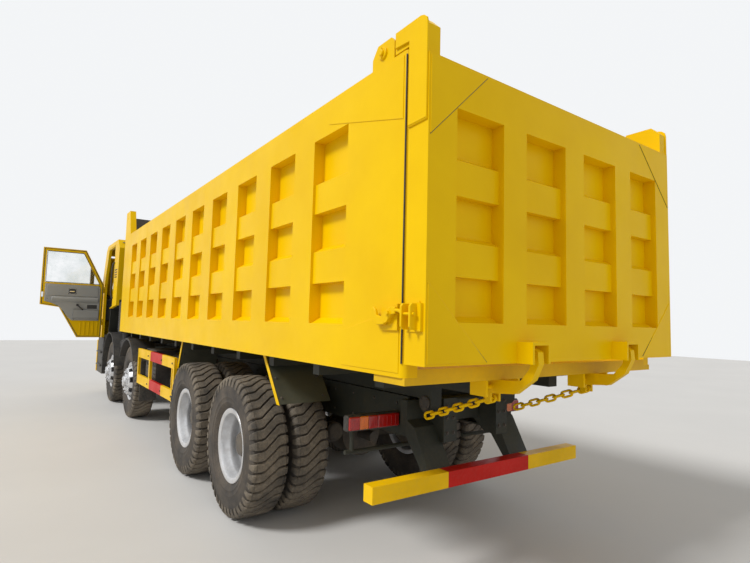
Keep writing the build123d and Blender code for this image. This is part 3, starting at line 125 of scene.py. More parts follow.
def setInputs(tree, node, inputs):
    for key, value in inputs.items():
        if isinstance(value, bpy.types.NodeSocket):
            tree.links.new(value, node.inputs[key])
        else:
            node.inputs[key].default_value = value


def maths(tree, operation, first, second, clamp=False):
    return addNode(tree, "Math", {"operation": operation, "use_clamp": clamp}, {0: first, 1: second}).outputs[0]


def mixed(tree, factor, first, second):
    return addNode(tree, "Mix", {"data_type": "RGBA"}, {0: factor, 6: first, 7: second}).outputs[2]


def noise(tree, place, scale, detail=4, rough=0.55):
    inputs = {"Vector": place, "Scale": scale, "Detail": detail, "Roughness": rough}
    return addNode(tree, "TexNoise", None, inputs).outputs["Fac"]


def spread(tree, value, low, high, outLow=0.0, outHigh=1.0):
    return addNode(tree, "MapRange", {"clamp": True}, {0: value, 1: low, 2: high, 3: outLow, 4: outHigh}).outputs[0]


def stripes(tree, place, direction, period, distortion=0.0):
    inputs = {"Vector": place, "Scale": period / 6.3, "Distortion": distortion}   # 6.3: a wave's own 2 pi
    return addNode(tree, "TexWave", {"bands_direction": direction}, inputs).outputs["Fac"]


def axisOf(tree, place, axis):
    return addNode(tree, "SeparateXYZ", None, {"Vector": place}).outputs[axis]


def colour(parts, share=1.0):
    parts = [c * share / 255 for c in parts]
    return tuple(c / 12.92 if c < 0.04045 else ((c + 0.055) / 1.055) ** 2.4 for c in parts) + (1,)


materials = {}


def newMaterial(name):
    materials[name] = bpy.data.materials.new(name)
    materials[name].use_nodes = True
    tree = materials[name].node_tree
    return tree, addNode(tree, "TexCoord").outputs["Object"]


def finishShader(tree, base, rough, height, strength, distance, **inputs):
    bump = addNode(tree, "Bump", None, {"Height": height, "Strength": strength, "Distance": distance})
    named = {key.replace("_", " "): value for key, value in inputs.items()}
    setInputs(tree, tree.nodes["Principled BSDF"],
              {"Base Color": base, "Roughness": rough, "Normal": bump.outputs[0], **named})


# coats of paint, plastic and metal: one recipe, each with its own look

coatDefaults = {
    "patch": 1.3,            # size of the slow variation from colour to tint, per metre
    "dust": (150, 140, 122),
    "dustAmount": 0.15,
    "dustTop": 1.4,          # dust fades out above this height
    "speckle": 40,
    "rough": (0.3, 0.5),
    "metal": 0.0,
    "gloss": 0.5,
    "bump": 0.1,
    "bumpScale": 90,
    "bumpDepth": 0.002,
}
coatLooks = {
    "yellowPaint": {"colour": (240, 196, 0), "tint": (232, 186, 0), "dust": (190, 158, 40), "dustAmount": 0.04,
                    "dustTop": 1.9, "rough": (0.34, 0.48), "gloss": 0.1, "bumpScale": 2.6, "bumpDepth": 0.012},
    "framePaint": {"colour": (42, 45, 39), "tint": (30, 32, 27), "dust": (92, 88, 70), "dustAmount": 0.32,
                   "dustTop": 1.2, "rough": (0.5, 0.75), "gloss": 0.3, "bump": 0.25},
    "castIron": {"colour": (44, 43, 42), "tint": (60, 55, 50), "dust": (112, 100, 84), "dustAmount": 0.6,
                 "dustTop": 1.2, "rough": (0.6, 0.85), "bump": 0.5, "bumpScale": 60},
    "tankMetal": {"colour": (70, 71, 73), "tint": (52, 53, 55), "dustAmount": 0.35, "metal": 0.6,
                  "rough": (0.35, 0.55)},
    "headboardPaint": {"colour": (62, 64, 66), "tint": (50, 51, 53), "dustAmount": 0.2, "dustTop": 3.4,
                       "rough": (0.45, 0.65)},
    "bedGrey": {"colour": (236, 190, 4), "tint": (206, 162, 12), "dust": (150, 128, 70), "dustAmount": 0.28,
                "dustTop": 1.9, "gloss": 0.2, "rough": (0.45, 0.7), "patch": 0.8, "bump": 0.2},
    "flapGrey": {"colour": (74, 78, 66), "tint": (56, 58, 48), "dust": (104, 100, 80), "dustAmount": 0.3,
                 "dustTop": 1.5, "rough": (0.5, 0.7), "bump": 0.15},
    "darkPlastic": {"colour": (38, 38, 39), "tint": (30, 30, 31), "dustAmount": 0.3, "rough": (0.5, 0.7),
                    "bumpScale": 300, "bump": 0.2, "bumpDepth": 0.0006},
    "trimGrey": {"colour": (158, 158, 154), "tint": (146, 146, 142), "dustAmount": 0.1, "rough": (0.55, 0.7),
                 "bumpScale": 420, "bump": 0.25, "bumpDepth": 0.0006},
    "rimSilver": {"colour": (222, 223, 225), "tint": (200, 201, 203), "dust": (142, 128, 108),
                  "dustAmount": 0.22, "dustTop": 1.0, "metal": 0.6, "rough": (0.34, 0.5), "patch": 5},
    "hubGrey": {"colour": (88, 88, 88), "tint": (66, 64, 62), "dust": (140, 126, 106), "dustAmount": 0.5,
                "metal": 0.5, "rough": (0.5, 0.7)},
    "hoistChrome": {"colour": (196, 198, 200), "tint": (184, 186, 190), "dustAmount": 0.1, "metal": 1.0,
                    "rough": (0.16, 0.3), "bump": 0.03},
    "mirrorFace": {"colour": (225, 228, 230), "tint": (218, 222, 226), "dustAmount": 0.05, "metal": 1.0,
                   "rough": (0.05, 0.1), "bump": 0.0},
}


def makeCoat(name, look):
    look = {**coatDefaults, **look}
    tree, place = newMaterial(name)
    slow = spread(tree, noise(tree, place, look["patch"], 5, 0.6), 0.35, 0.65)
    low = spread(tree, axisOf(tree, place, 2), look["dustTop"] * 0.3, look["dustTop"], 1.0, 0.25)
    grains = spread(tree, noise(tree, place, look["speckle"], 6, 0.7), 0.42, 0.68)
    clouds = spread(tree, noise(tree, place, look["patch"] * 2.7, 6, 0.65), 0.38, 0.66)
    dusty = maths(tree, "ADD", maths(tree, "MULTIPLY", grains, 0.5), clouds)
    amount = maths(tree, "MULTIPLY", maths(tree, "MULTIPLY", low, look["dustAmount"]), dusty, True)
    base = mixed(tree, amount, mixed(tree, slow, colour(look["colour"]), colour(look["tint"])), colour(look["dust"]))
    rough = spread(tree, maths(tree, "ADD", clouds, amount), 0.0, 1.4, *look["rough"])
    finishShader(tree, base, rough, noise(tree, place, look["bumpScale"], 3, 0.5), look["bump"], look["bumpDepth"],
                 Metallic=look["metal"], Specular_IOR_Level=look["gloss"])


rubberLooks = {
    "tyreRubber": {"colour": (42, 39, 36), "worn": (66, 59, 52), "dust": (104, 93, 79), "grain": 130,
                   "rough": (0.7, 0.9)},
    "treadRubber": {"colour": (56, 52, 47), "worn": (104, 95, 82), "dust": (146, 133, 114), "grain": 70,
                    "rough": (0.8, 0.95)},
}


def makeRubber(name, look):
    tree, place = newMaterial(name)
    slow = spread(tree, noise(tree, place, 3.5, 6, 0.65), 0.35, 0.68)
    grains = spread(tree, noise(tree, place, 60, 6, 0.75), 0.35, 0.7)
    base = mixed(tree, slow, colour(look["colour"]), colour(look["worn"]))
    base = mixed(tree, maths(tree, "MULTIPLY", slow, grains), base, colour(look["dust"]))
    rough = spread(tree, grains, 0.0, 1.0, *look["rough"])
    finishShader(tree, base, rough, noise(tree, place, look["grain"], 5, 0.6), 0.3, 0.002)


glassLooks = {"windowGlass": {"clear": (255, 255, 255), "tint": (206, 216, 214), "smear": (0.02, 0.09), "ior": 1.45}}


def makeGlass(name, look):
    tree, place = newMaterial(name)
    film = spread(tree, noise(tree, place, 2.2, 6, 0.6), 0.4, 0.75)
    base = mixed(tree, film, colour(look["clear"]), colour(look["tint"]))
    finishShader(tree, base, spread(tree, film, 0.0, 1.0, *look["smear"]), film, 0.02, 0.001, IOR=look["ior"],
                 Transmission_Weight=1.0)


lensLooks = {
    "redLens": {"colour": (178, 20, 14), "ribs": 260},
    "amberLens": {"colour": (236, 118, 12), "ribs": 260},
    "clearLens": {"colour": (214, 220, 224), "ribs": 190},
}


def makeLens(name, look):
    tree, place = newMaterial(name)
    deep = noise(tree, place, 24, 3)
    base = mixed(tree, spread(tree, deep, 0.3, 0.7, 0.0, 0.35), colour(look["colour"]), colour(look["colour"], 0.6))
    finishShader(tree, base, spread(tree, deep, 0.3, 0.7, 0.12, 0.24), stripes(tree, place, "X", look["ribs"], 0.2),
                 0.25, 0.002, Coat_Weight=0.6)


fabricLooks = {"seatFabric": {"colour": (66, 68, 72), "thread": (92, 95, 100), "weave": 900}}


def makeFabric(name, look):
    tree, place = newMaterial(name)
    weave = maths(tree, "MULTIPLY", *[stripes(tree, place, way, look["weave"]) for way in "XZ"])
    soft = spread(tree, noise(tree, place, 9, 5), 0.35, 0.7, 0, 0.35)
    base = mixed(tree, weave, colour(look["colour"]), colour(look["thread"]))
    finishShader(tree, mixed(tree, soft, base, colour(look["colour"], 0.7)), spread(tree, weave, 0, 1, 0.75, 0.92),
                 weave, 0.4, 0.0008, Sheen_Weight=0.35)


# a band of red between low and high along one axis, yellow beyond

warningRed, signalYellow, roadDust = (196, 26, 16), (241, 193, 0), (150, 138, 116)
bandLooks = {
    "underrunPaint": {"axis": 0, "low": truckOrigin.x - 0.40, "high": truckOrigin.x + 0.40},
    "guardPaint": {"axis": 1, "low": truckOrigin.y - 3.37, "high": truckOrigin.y - 2.71},
}


def makeBanded(name, look):
    tree, place = newMaterial(name)
    along = axisOf(tree, place, look["axis"])
    inBand = maths(tree, "MULTIPLY", maths(tree, "GREATER_THAN", along, look["low"]),
                   maths(tree, "LESS_THAN", along, look["high"]))
    slow = spread(tree, noise(tree, place, 3, 5), 0.35, 0.65)
    grains = spread(tree, noise(tree, place, 45, 6, 0.7), 0.45, 0.7, 0, 0.07)
    red, yellow = [mixed(tree, slow, colour(paint), colour(paint, aged))
                   for paint, aged in ((warningRed, 0.9), (signalYellow, 0.94))]
    base = mixed(tree, grains, mixed(tree, inBand, yellow, red), colour(roadDust))
    finishShader(tree, base, spread(tree, slow, 0, 1, 0.32, 0.5), noise(tree, place, 120, 3), 0.08, 0.001,
                 Specular_IOR_Level=0.15)


for make, looks in ((makeCoat, coatLooks), (makeRubber, rubberLooks), (makeGlass, glassLooks),
                    (makeLens, lensLooks), (makeFabric, fabricLooks), (makeBanded, bandLooks)):
    for name, look in looks.items():
        make(name, look)
print("materials made:", len(materials))

# which coat each carried-over node wears

nodeCoats = {
    "yellowPaint": "bed_side_left bed_side_right tailgate bed_hooks chains cab_front cab_sides "
                   "cab_rear_and_roof door_left_panel door_right_panel front_bumper",
    "framePaint": "chassis_frame frame_tail bed_subframe cab_floor hoist_tube",
    "flapGrey": "bed_mudguards",
    "castIron": "front_axles rear_axles suspension engine_block driveline knuckle_1_left knuckle_1_right "
                "knuckle_2_left knuckle_2_right",
    "tankMetal": "side_tanks",
    "headboardPaint": "bed_headboard",
    "bedGrey": "bed_floor",
    "darkPlastic": "front_fenders front_grille dashboard",
    "trimGrey": "door_left_trim door_right_trim",
    "hoistChrome": "hoist_stage_1 hoist_stage_2 hoist_rod",
    "windowGlass": "cab_glass door_left_glass door_right_glass",
    "redLens": "tail_lamps",
    "clearLens": "headlamps",
    "underrunPaint": "rear_underrun",
    "guardPaint": "side_guards",
    "seatFabric": "seats",
    "rimSilver": " ".join(n for n in nodes if "_rim" in n),
    "tyreRubber": " ".join(n for n in nodes if "_tyre" in n),
}
undressed = set(nodes)
for coat, wearers in nodeCoats.items():
    for node in wearers.split():
        if not nodes[node].data.materials:
            nodes[node].data.materials.append(None)
        for slot in nodes[node].material_slots:
            slot.material = materials[coat]
        undressed.discard(node)
print("nodes dressed, left over:", sorted(undressed))

# making pieces: a bag holds the vertices and faces of one piece, in the truck's own places

slotNames = {
    "yellowPaint": "yellow_paint", "framePaint": "frame_paint", "castIron": "cast_iron", "tankMetal": "tank_metal",
    "bedGrey": "floor_grey", "darkPlastic": "dark_plastic", "trimGrey": "trim_grey", "rimSilver": "rim_silver",
    "hubGrey": "cast_iron", "mirrorFace": "hoist_chrome", "windowGlass": "glass", "redLens": "tail_lens",
    "amberLens": "lamp_lens", "seatFabric": "seat_fabric", "tyreRubber": "tyre_rubber", "treadRubber": "tyre_rubber",
}


def circle(steps, radius=1.0, start=0.0):
    turns = [start + 2 * pi * i / steps for i in range(steps)]
    return [(radius * cos(turn), radius * sin(turn)) for turn in turns]


def gridFaces(rows, columns, wrapRows, wrapColumns):
    return [(i * columns + j, i * columns + (j + 1) % columns,
             (i + 1) % rows * columns + (j + 1) % columns, (i + 1) % rows * columns + j)
            for i in range(rows - (not wrapRows)) for j in range(columns - (not wrapColumns))]


def insetOutline(outline, amount):
    points = [Vector(p) for p in outline]
    area = sum(a.x * b.y - b.x * a.y for a, b in zip(points, points[1:] + points[:1]))
    turn = 1 if area > 0 else -1
    result = []
    for i, here in enumerate(points):
        first = (here - points[i - 1]).normalized()
        second = (points[(i + 1) % len(points)] - here).normalized()
        inward = Vector((-first.y - second.y, first.x + second.x)) * turn
        result.append(here + inward * (amount / max(0.3, 1 + first.dot(second))))
    return result


def smoothed(points, times=2, closed=False):
    points = [Vector(p) for p in points]
    for _ in range(times):
        after = points[1:] + (points[:1] if closed else [])
        cut = [q for a, b in zip(points, after) for q in (a.lerp(b, 0.25), a.lerp(b, 0.75))]
        points = cut if closed else [points[0]] + cut + [points[-1]]
    return points


class Bag:
    every = []        # in the order of making
    place = onTruck   # from a bag's places to the frame's

    def __init__(self, name, body, coat, slot=None, smooth=30, node=None, fill=None):
        self.name, self.body, self.coat, self.slot = name, body, coat, slot or slotNames[coat]
        self.smooth, self.node, self.fill = smooth, node, fill
        self.vertices, self.faces = [], []
        Bag.every.append(self)

    def add(self, vertices, faces):
        start = len(self.vertices)
        self.vertices += [tuple(Bag.place(*v)) for v in vertices]
        self.faces += [[start + i for i in face] for face in faces]

    def block(self, low, high, edge=0.003):
        edge = min([edge] + [abs(b - a) * 0.45 for a, b in zip(low, high)])
        low, high = [min(pair) for pair in zip(low, high)], [max(pair) for pair in zip(low, high)]
        vertices, faces = [], []
        for corner in range(8):
            for axis in range(3):
                insets = [0 if k == axis else edge for k in range(3)]
                vertices.append([high[k] - insets[k] if corner >> k & 1 else low[k] + insets[k] for k in range(3)])
        for axis in range(3):
            b, c = (axis + 1) % 3, (axis + 2) % 3
            for far in (0, 1):
                faces.append([(far << axis | p << b | q << c) * 3 + axis for p, q in ((0, 0), (1, 0), (1, 1), (0, 1))])
            for first in (0, 1 << b, 1 << c, 1 << b | 1 << c):
                second = first | 1 << axis
                faces.append([first * 3 + b, second * 3 + b, second * 3 + c, first * 3 + c])
        self.add(vertices, faces + [[corner * 3, corner * 3 + 1, corner * 3 + 2] for corner in range(8)])

    def blocks(self, edge, *rows):
        for row in rows:
            self.block(row[:3], row[3:], edge)

    def row(self, edge, axis, places, *corners):
        for place in places:
            shift = [place if k == axis else 0 for k in range(3)] * 2
            self.blocks(edge, [value + more for value, more in zip(corners, shift)])

    def prism(self, outline, axis, start, end, edge=0.002):
        small, way, count = insetOutline(outline, edge), 1 if end > start else -1, len(outline)
        rings = ((small, start), (outline, start + edge * way), (outline, end - edge * way), (small, end))
        vertices = [((depth, u, v), (u, depth, v), (u, v, depth))[axis] for points, depth in rings for u, v in points]
        self.add(vertices, gridFaces(4, count, False, True) + [range(count), range(3 * count, 4 * count)])

    def turned(self, centre, along, profile, steps=24):
        centre, along = Vector(centre), Vector(along).normalized()
        up = along.orthogonal().normalized()
        side = along.cross(up)
        vertices = [centre + along * far + (up * u + side * v) * radius
                    for u, v in circle(steps) for far, radius in profile]
        total, count = steps * len(profile), len(profile)
        ends = [range(0, total, count), range(count - 1, total, count)]
        self.add(vertices, gridFaces(steps, count, True, False) + ends)

    def bolt(self, centre, along, radius, height):
        washer = ((-0.002, radius * 1.4), (height * 0.15, radius * 1.4), (height * 0.2, radius * 1.3))
        self.turned(centre, along, washer, 14)
        self.turned(centre, along, ((0, radius), (height * 0.8, radius), (height, radius * 0.82)), 6)

    def tube(self, points, radius, steps=10, closed=False):
        points = [Vector(p) for p in points]
        count = len(points)
        vertices, up = [], None
        for i, here in enumerate(points):
            before = points[i - 1] if i or closed else here
            after = points[(i + 1) % count] if i < count - 1 or closed else here
            ahead = (after - before).normalized()
            up = ahead.orthogonal().normalized() if up is None else (up - ahead * up.dot(ahead)).normalized()
            side = ahead.cross(up)
            vertices += [here + (up * u + side * v) * radius for u, v in circle(steps)]
        ends = [] if closed else [range(steps), range((count - 1) * steps, count * steps)]
        self.add(vertices, gridFaces(count, steps, closed, True) + ends)

    def strap(self, outline, start, end, thick):
        outer, count = insetOutline(outline, -thick), len(outline)
        vertices = [(u, y, v) for points in (outline, outer) for y in (start, end) for u, v in points]
        pairs = [(i, (i + 1) % count) for i in range(count)]
        self.add(vertices, [(a * count + i, a * count + j, b * count + j, b * count + i)
                            for i, j in pairs for a, b in ((0, 1), (2, 3), (0, 2), (1, 3))])

    def make(self):
        mesh = bpy.data.meshes.new(self.name)
        mesh.from_pydata(self.vertices, [], self.faces)
        mesh.validate()
        form = bmesh.new()
        form.from_mesh(mesh)
        bmesh.ops.recalc_face_normals(form, faces=form.faces)
        form.to_mesh(mesh)
        form.free()
        for face in mesh.polygons:
            face.use_smooth = True
        mesh.set_sharp_from_angle(angle=radians(self.smooth))
        piece = newObject(self.name, mesh)
        mesh.materials.append(materials[self.coat])
        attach(piece, self.body)
        if self.node:
            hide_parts(self.node)


def asIs(*place):
    return Vector(place)


def eachSide(placing=onSide):
    for side in sides:
        Bag.place = placing(side)
        yield side
    Bag.place = onTruck


# tyres: lugs are strips across the tread, each station with its place across, radius, start and share of a pitch

tyreLook = {
    "width": 0.3,
    "steps": 88,
    "pitches": 44,
    "carcass": ((0.0, 0.541), (0.06, 0.54), (0.114, 0.537), (0.131, 0.528), (0.141, 0.505), (0.146, 0.47),
                (0.1485, 0.43), (0.1482, 0.395), (0.1496, 0.391), (0.1496, 0.386), (0.147, 0.38), (0.144, 0.352),
                (0.1452, 0.349), (0.1425, 0.342), (0.132, 0.322), (0.12, 0.304), (0.108, 0.29), (0.1, 0.262)),
    "tread": ((-0.1135, 0.5574, 1.26, 0.81), (-0.078, 0.5603, 1.24, 0.8), (-0.052, 0.5616, 1.14, 0.79),
              (-0.03, 0.5622, 0.88, 0.78), (0.0, 0.5624, 0.58, 0.79), (0.03, 0.5622, 0.28, 0.78),
              (0.052, 0.5616, 0.02, 0.79), (0.078, 0.5603, -0.08, 0.8), (0.1135, 0.5574, -0.1, 0.81)),
    "shoulder": ((0.1165, 0.5566, 0.3, 0.74), (0.129, 0.553, 0.32, 0.7), (0.1395, 0.543, 0.35, 0.62),
                 (0.145, 0.52, 0.38, 0.54), (0.1482, 0.495, 0.42, 0.44)),
    "shoulderShift": -0.4,    # of a pitch, on the left side of the tyre
    "treadDepth": 0.024,
    "shoulderDepth": 0.016,
    "edge": 0.0035,
    "smooth": 34,
}


def addLathed(bag, profile, steps, centre, side=1):
    vertices = [centre + Vector((side * x, r * u, r * v)) for u, v in circle(steps) for x, r in profile]
    bag.add(vertices, gridFaces(steps, len(profile), True, True))


def addLug(bag, stations, depth, offset, pitch, edge, centre, flip):
    vertices = []
    for sunk, narrowed in ((depth, -edge * 0.6), (edge, 0), (0, edge)):
        for x, top, begin, share in stations:
            narrow, radius = narrowed / top, top - sunk
            for turn in (offset + begin * pitch + narrow, offset + (begin + share) * pitch - narrow):
                vertices.append(centre + Vector((x, radius * cos(turn), radius * sin(turn))))
    wide = 2 * len(stations)
    faces = []
    for a in (0, wide):
        b = a + wide
        for j in range(0, wide - 2, 2):
            faces += [(a + j, a + j + 2, b + j + 2, b + j), (a + j + 3, a + j + 1, b + j + 1, b + j + 3)]
        faces += [(a + 1, a, b, b + 1), (b - 2, b - 1, b + wide - 1, b + wide - 2)]
    for j in range(0, wide - 2, 2):
        a = 2 * wide + j
        faces += [(a, a + 2, a + 3, a + 1), (j + 1, j + 3, j + 2, j)]
    bag.add(vertices, [face[::-1] for face in faces] if flip else faces)


def addTyre(carcass, lugs, look, centre):
    half = look["carcass"]
    addLathed(carcass, half[::-1] + tuple((-x, r) for x, r in half[1:]), look["steps"], centre)
    pitch, edge = 2 * pi / look["pitches"], look["edge"]
    for i in range(look["pitches"]):
        addLug(lugs, look["tread"], look["treadDepth"], i * pitch, pitch, edge, centre, True)
        for side, shift in ((1, look["shoulderShift"]), (-1, 0)):
            stations = [(side * x, top, begin + shift, share) for x, top, begin, share in look["shoulder"]]
            addLug(lugs, stations, look["shoulderDepth"], i * pitch, pitch, edge, centre, side > 0)


def wheelMiddles(node):
    low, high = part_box(node)
    centres, width = [(low.x + high.x) / 2], tyreLook["width"]
    if high.x - low.x > 2 * width:
        centres = [low.x + width / 2, high.x - width / 2]
    return [Vector((x, (low.y + high.y) / 2, (low.z + high.z) / 2)) for x in centres]


def addTyres(look):
    for node in sorted(n for n in nodes if "_tyre" in n):
        body = nodes[node]["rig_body"]
        carcass = Bag(node + "_carcass", body, "tyreRubber", smooth=look["smooth"], node=node)
        lugs = Bag(node + "_tread", body, "treadRubber", smooth=look["smooth"])
        for centre in wheelMiddles(node):
            addTyre(carcass, lugs, look, centre)


# wheels: places are from the rim's middle plane, outwards, and from the axle

rimLook = {
    "steps": 72,
    "barrel": ((0.118, 0.2975), (0.1225, 0.2945), (0.1215, 0.287), (0.115, 0.274), (0.105, 0.262), (0.09, 0.253),
               (0.07, 0.25), (0.066, 0.2465), (0.01, 0.246), (0.006, 0.244), (-0.04, 0.244), (-0.044, 0.2465),
               (-0.09, 0.248), (-0.115, 0.256), (-0.1215, 0.27), (-0.1225, 0.2945), (-0.118, 0.2975),
               (-0.1085, 0.293), (-0.1085, 0.256), (0.1085, 0.256), (0.1085, 0.293)),
    "disc": ((0.175, 0.1), (0.175, 0.196), (0.168, 0.207), (0.12, 0.232), (0.07, 0.242), (0.044, 0.2475)),
    "discBack": 0.012,
    "thinFrom": 0.2,          # beyond this radius the disc's back also lies nearer the axle
    "discSteps": 80,
    "holes": 8,
    "holeSteps": 5,
    "holeRing": 2,
    "nuts": 10,
    "nutCircle": 0.1675,
    "nut": (0.0165, 0.024),   # radius and height
    "stud": ((0, 0.01), (0.01, 0.01), (0.013, 0.007)),
    "capBolts": 8,
    "capCircle": 0.068,
    "capSink": 0.008,
    "frontHub": ((0.15, 0.104), (0.187, 0.104), (0.192, 0.098), (0.194, 0.084), (0.208, 0.082), (0.221, 0.076),
                 (0.228, 0.06), (0.231, 0.03), (0.2315, 0.002)),
    "rearHub": ((-0.18, 0.1045), (-0.02, 0.1045), (0.02, 0.103), (0.028, 0.097), (0.03, 0.09), (0.04, 0.089),
                (0.046, 0.084), (0.0475, 0.05), (0.048, 0.002)),
    "drum": ((-0.107, 0.06), (-0.107, 0.2), (-0.1, 0.2045), (0.018, 0.2045), (0.022, 0.198), (0.022, 0.104)),
    "drumSink": 0.01,
    "smooth": 34,
}


def addHoledDisc(bag, centre, side, look):
    steps, stations = look["discSteps"], look["disc"]
    each, rings = steps // look["holes"], len(stations)
    total = steps * rings

    def solid(i, j):
        return 0 <= j < rings - 1 and not (j == look["holeRing"] and i % steps % each < look["holeSteps"])

    vertices = []
    for back in (0, look["discBack"]):
        for u, v in circle(steps):
            for x, r in stations:
                r -= 0.6 * back if r > look["thinFrom"] else 0
                vertices.append(centre + Vector((side * (x - back), r * u, r * v)))
    faces = []
    for i in range(steps):
        for j in range(rings - 1):
            if solid(i, j):
                a, b = i * rings + j, (i + 1) % steps * rings + j
                faces += [(a, a + 1, b + 1, b), (b + total, b + 1 + total, a + 1 + total, a + total)]
                faces += [(p, q, q + total, p + total) for p, q, bare in (
                    (a, a + 1, not solid(i - 1, j)), (b, b + 1, not solid(i + 1, j)),
                    (a, b, not solid(i, j - 1)), (a + 1, b + 1, not solid(i, j + 1))) if bare]
    bag.add(vertices, faces)


def addWheels(look):
    for node in sorted(n for n in nodes if "_rim" in n):
        middles = wheelMiddles(node.replace("rims", "tyres").replace("rim", "tyre"))
        side, body = 1 if node.endswith("left") else -1, nodes[node]["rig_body"]
        silver = Bag(node + "_pressed", body, "rimSilver", smooth=look["smooth"], node=node)
        dark = Bag(node + "_hub", body, "hubGrey", smooth=look["smooth"])
        along = Vector((side, 0, 0))
        middles.sort(key=lambda middle: side * middle.x)
        inner, outer = middles[0], middles[-1]
        twin = len(middles) == 2
        for centre, way in ((inner, side), (outer, -side))[:len(middles)]:
            addLathed(silver, look["barrel"], look["steps"], centre, way)
            addHoledDisc(silver, centre, way, look)
        hub, coat = (look["rearHub"], dark) if twin else (look["frontHub"], silver)
        face = outer - along * (look["disc"][0][0] - look["discBack"]) if twin else outer + along * look["disc"][0][0]
        coat.turned(outer, along, hub, 40)
        dark.turned(inner - along * look["drumSink"], along, look["drum"], 48)
        for u, v in circle(look["nuts"], look["nutCircle"], pi / look["nuts"]):
            place = face + Vector((0, u, v))
            coat.bolt(place, along, *look["nut"])
            dark.turned(place + along * look["nut"][1] * 0.9, along, look["stud"], 10)
        for u, v in circle(look["capBolts"], look["capCircle"]):
            coat.bolt(outer + along * (hub[-2][0] - look["capSink"]) + Vector((0, u, v)), along, 0.009, 0.009)


Bag.place = asIs
addTyres(tyreLook)
addWheels(rimLook)
Bag.place = onTruck
print("tyres and wheels made")

# the bed's welded plates, arms, latches and seams: outlines are y, z on a side and x, z on the gate

bedLook = {
    "face": 1.19,
    "gateFace": 2.358,
    "sink": 0.001,            # into the plate below
    "plate": 0.0035,
    "plateEdge": 0.0012,
    "seam": 0.0035,
    "side": (((1.42, 2.83), (1.645, 2.77), (2.166, 2.63), (2.166, 2.962), (1.42, 2.962)),
             ((1.645, 1.545), (2.03, 1.634), (2.166, 1.634), (2.166, 1.352), (1.645, 1.352))),
    "sideSeams": (2, 1),      # along the first edges of each outline
    "gate": (((0.788, 2.89), (1.178, 2.503), (1.178, 2.89)), ((0.783, 1.41), (1.178, 1.79), (1.178, 1.41))),
    "arm": ((2.214, 2.57), (2.352, 2.575), (2.352, 3.05), (2.345, 3.078), (2.325, 3.096), (2.3, 3.104),
            (2.1, 3.104), (2.1, 3.02), (2.214, 3.01)),
    "armThick": 0.012,
    "armSeam": ((2.214, 2.568), (2.352, 2.573)),
    "floorSeams": (10, 1.3, -0.7),       # how many, the first and the step along the bed
    "floorX": 1.098,
    "floorZ": 1.374,
    # painted shadow: how far the dark lines along the gate's gusset edges sit off the plate edge
    "shadowLineShift": 0.006,
}


def addBedPlates(look):
    side, gate = Bag("side_plates", "bed", "yellowPaint"), Bag("gate_plates", "tailgate", "yellowPaint")
    face, rear, sink, plate = look["face"], look["gateFace"], look["sink"], look["plate"]
    for _ in eachSide():
        for outline, seams in zip(look["side"], look["sideSeams"]):
            side.prism(outline, 0, face - sink, face + plate, look["plateEdge"])
            for i in range(seams):
                side.tube([(face + sink / 2, *p) for p in outline[i:i + 2]], look["seam"], 6)
        for outline in look["gate"]:
            gate.prism(outline, 1, rear - sink, rear + plate, look["plateEdge"])
            gate.tube([(x, rear + sink / 2, z) for x, z in outline[:2]], look["seam"], 6)
        gate.prism(look["arm"], 0, face - sink / 2, face + look["armThick"])
        gate.tube([(face + look["armThick"] * 0.3, *p) for p in look["armSeam"]], 0.006, 6)


latchLook = {
    "lever": ((1.985, 1.668), (2.0, 1.676), (2.018, 1.664), (2.03, 1.634), (2.06, 1.626), (2.1, 1.64),
              (2.128, 1.668), (2.15, 1.676), (2.182, 1.672), (2.182, 1.64), (2.15, 1.636), (2.125, 1.606),
              (2.085, 1.586), (2.035, 1.584), (2.004, 1.604), (1.99, 1.636)),
    "leverX": (1.216, 1.234),
    "pivot": (2.13, 1.645),
    "hub": ((0, 0.024), (0.03, 0.024), (0.034, 0.02)),
    "hook": ((1.226, 2.16, 1.656), (1.226, 2.205, 1.658), (1.226, 2.24, 1.64)),
    "lugs": ((2.236, 2.25), (2.3, 2.314)),
    "lug": ((1.189, 1.566), (1.234, 1.566), (1.246, 1.58), (1.246, 1.676), (1.234, 1.69), (1.189, 1.69)),
    "pin": ((1.228, 2.224, 1.64), (1.228, 2.326, 1.64)),
    "foot": (1.1895, 2.224, 1.554, 1.196, 2.322, 1.702),
}
pivotLook = {
    "places": ((1.189, 1), (1.111, -1)),   # x and the way it faces
    "centre": (1.98, 3.05),
    "boss": ((0, 0.034), (0.008, 0.034), (0.011, 0.03)),
    "shaft": ((0.01, 0.017), (0.02, 0.017), (0.023, 0.013)),
    "cotter": (0.016, 0.03),               # out from the boss, and half its length
    "bolt": (1.172, 1.905, 3.01),
}


def addLatches(look):
    side, gate = Bag("corner_levers", "bed", "yellowPaint"), Bag("corner_lugs", "tailgate", "yellowPaint")
    for _ in eachSide():
        side.prism(look["lever"], 0, *look["leverX"], 0.003)
        side.turned((1.19, *look["pivot"]), (1, 0, 0), look["hub"], 20)
        side.bolt((look["leverX"][1], *look["pivot"]), (1, 0, 0), 0.013, 0.012)
        side.tube(smoothed(look["hook"]), 0.009)
        for start, end in look["lugs"]:
            gate.prism(look["lug"], 1, start, end)
        gate.tube(look["pin"], 0.008, 12)
        gate.blocks(0.002, look["foot"])


def addPivots(look):
    bag, dark = Bag("gate_pivots", "bed", "yellowPaint"), Bag("gate_pivot_bolts", "bed", "hubGrey")
    y, z = look["centre"]
    out, half = look["cotter"]
    for _ in eachSide():
        for x, way in look["places"]:
            bag.turned((x, y, z), (way, 0, 0), look["boss"], 28)
            bag.turned((x, y, z), (way, 0, 0), look["shaft"], 20)
            bag.tube([(x + way * out, y, z - half), (x + way * out, y, z + half)], 0.003, 8)
        dark.bolt(look["bolt"], (1, 0, 0), 0.011, 0.01)


addBedPlates(bedLook)
addLatches(latchLook)
addPivots(pivotLook)
print("bed plates, latches and pivots made")

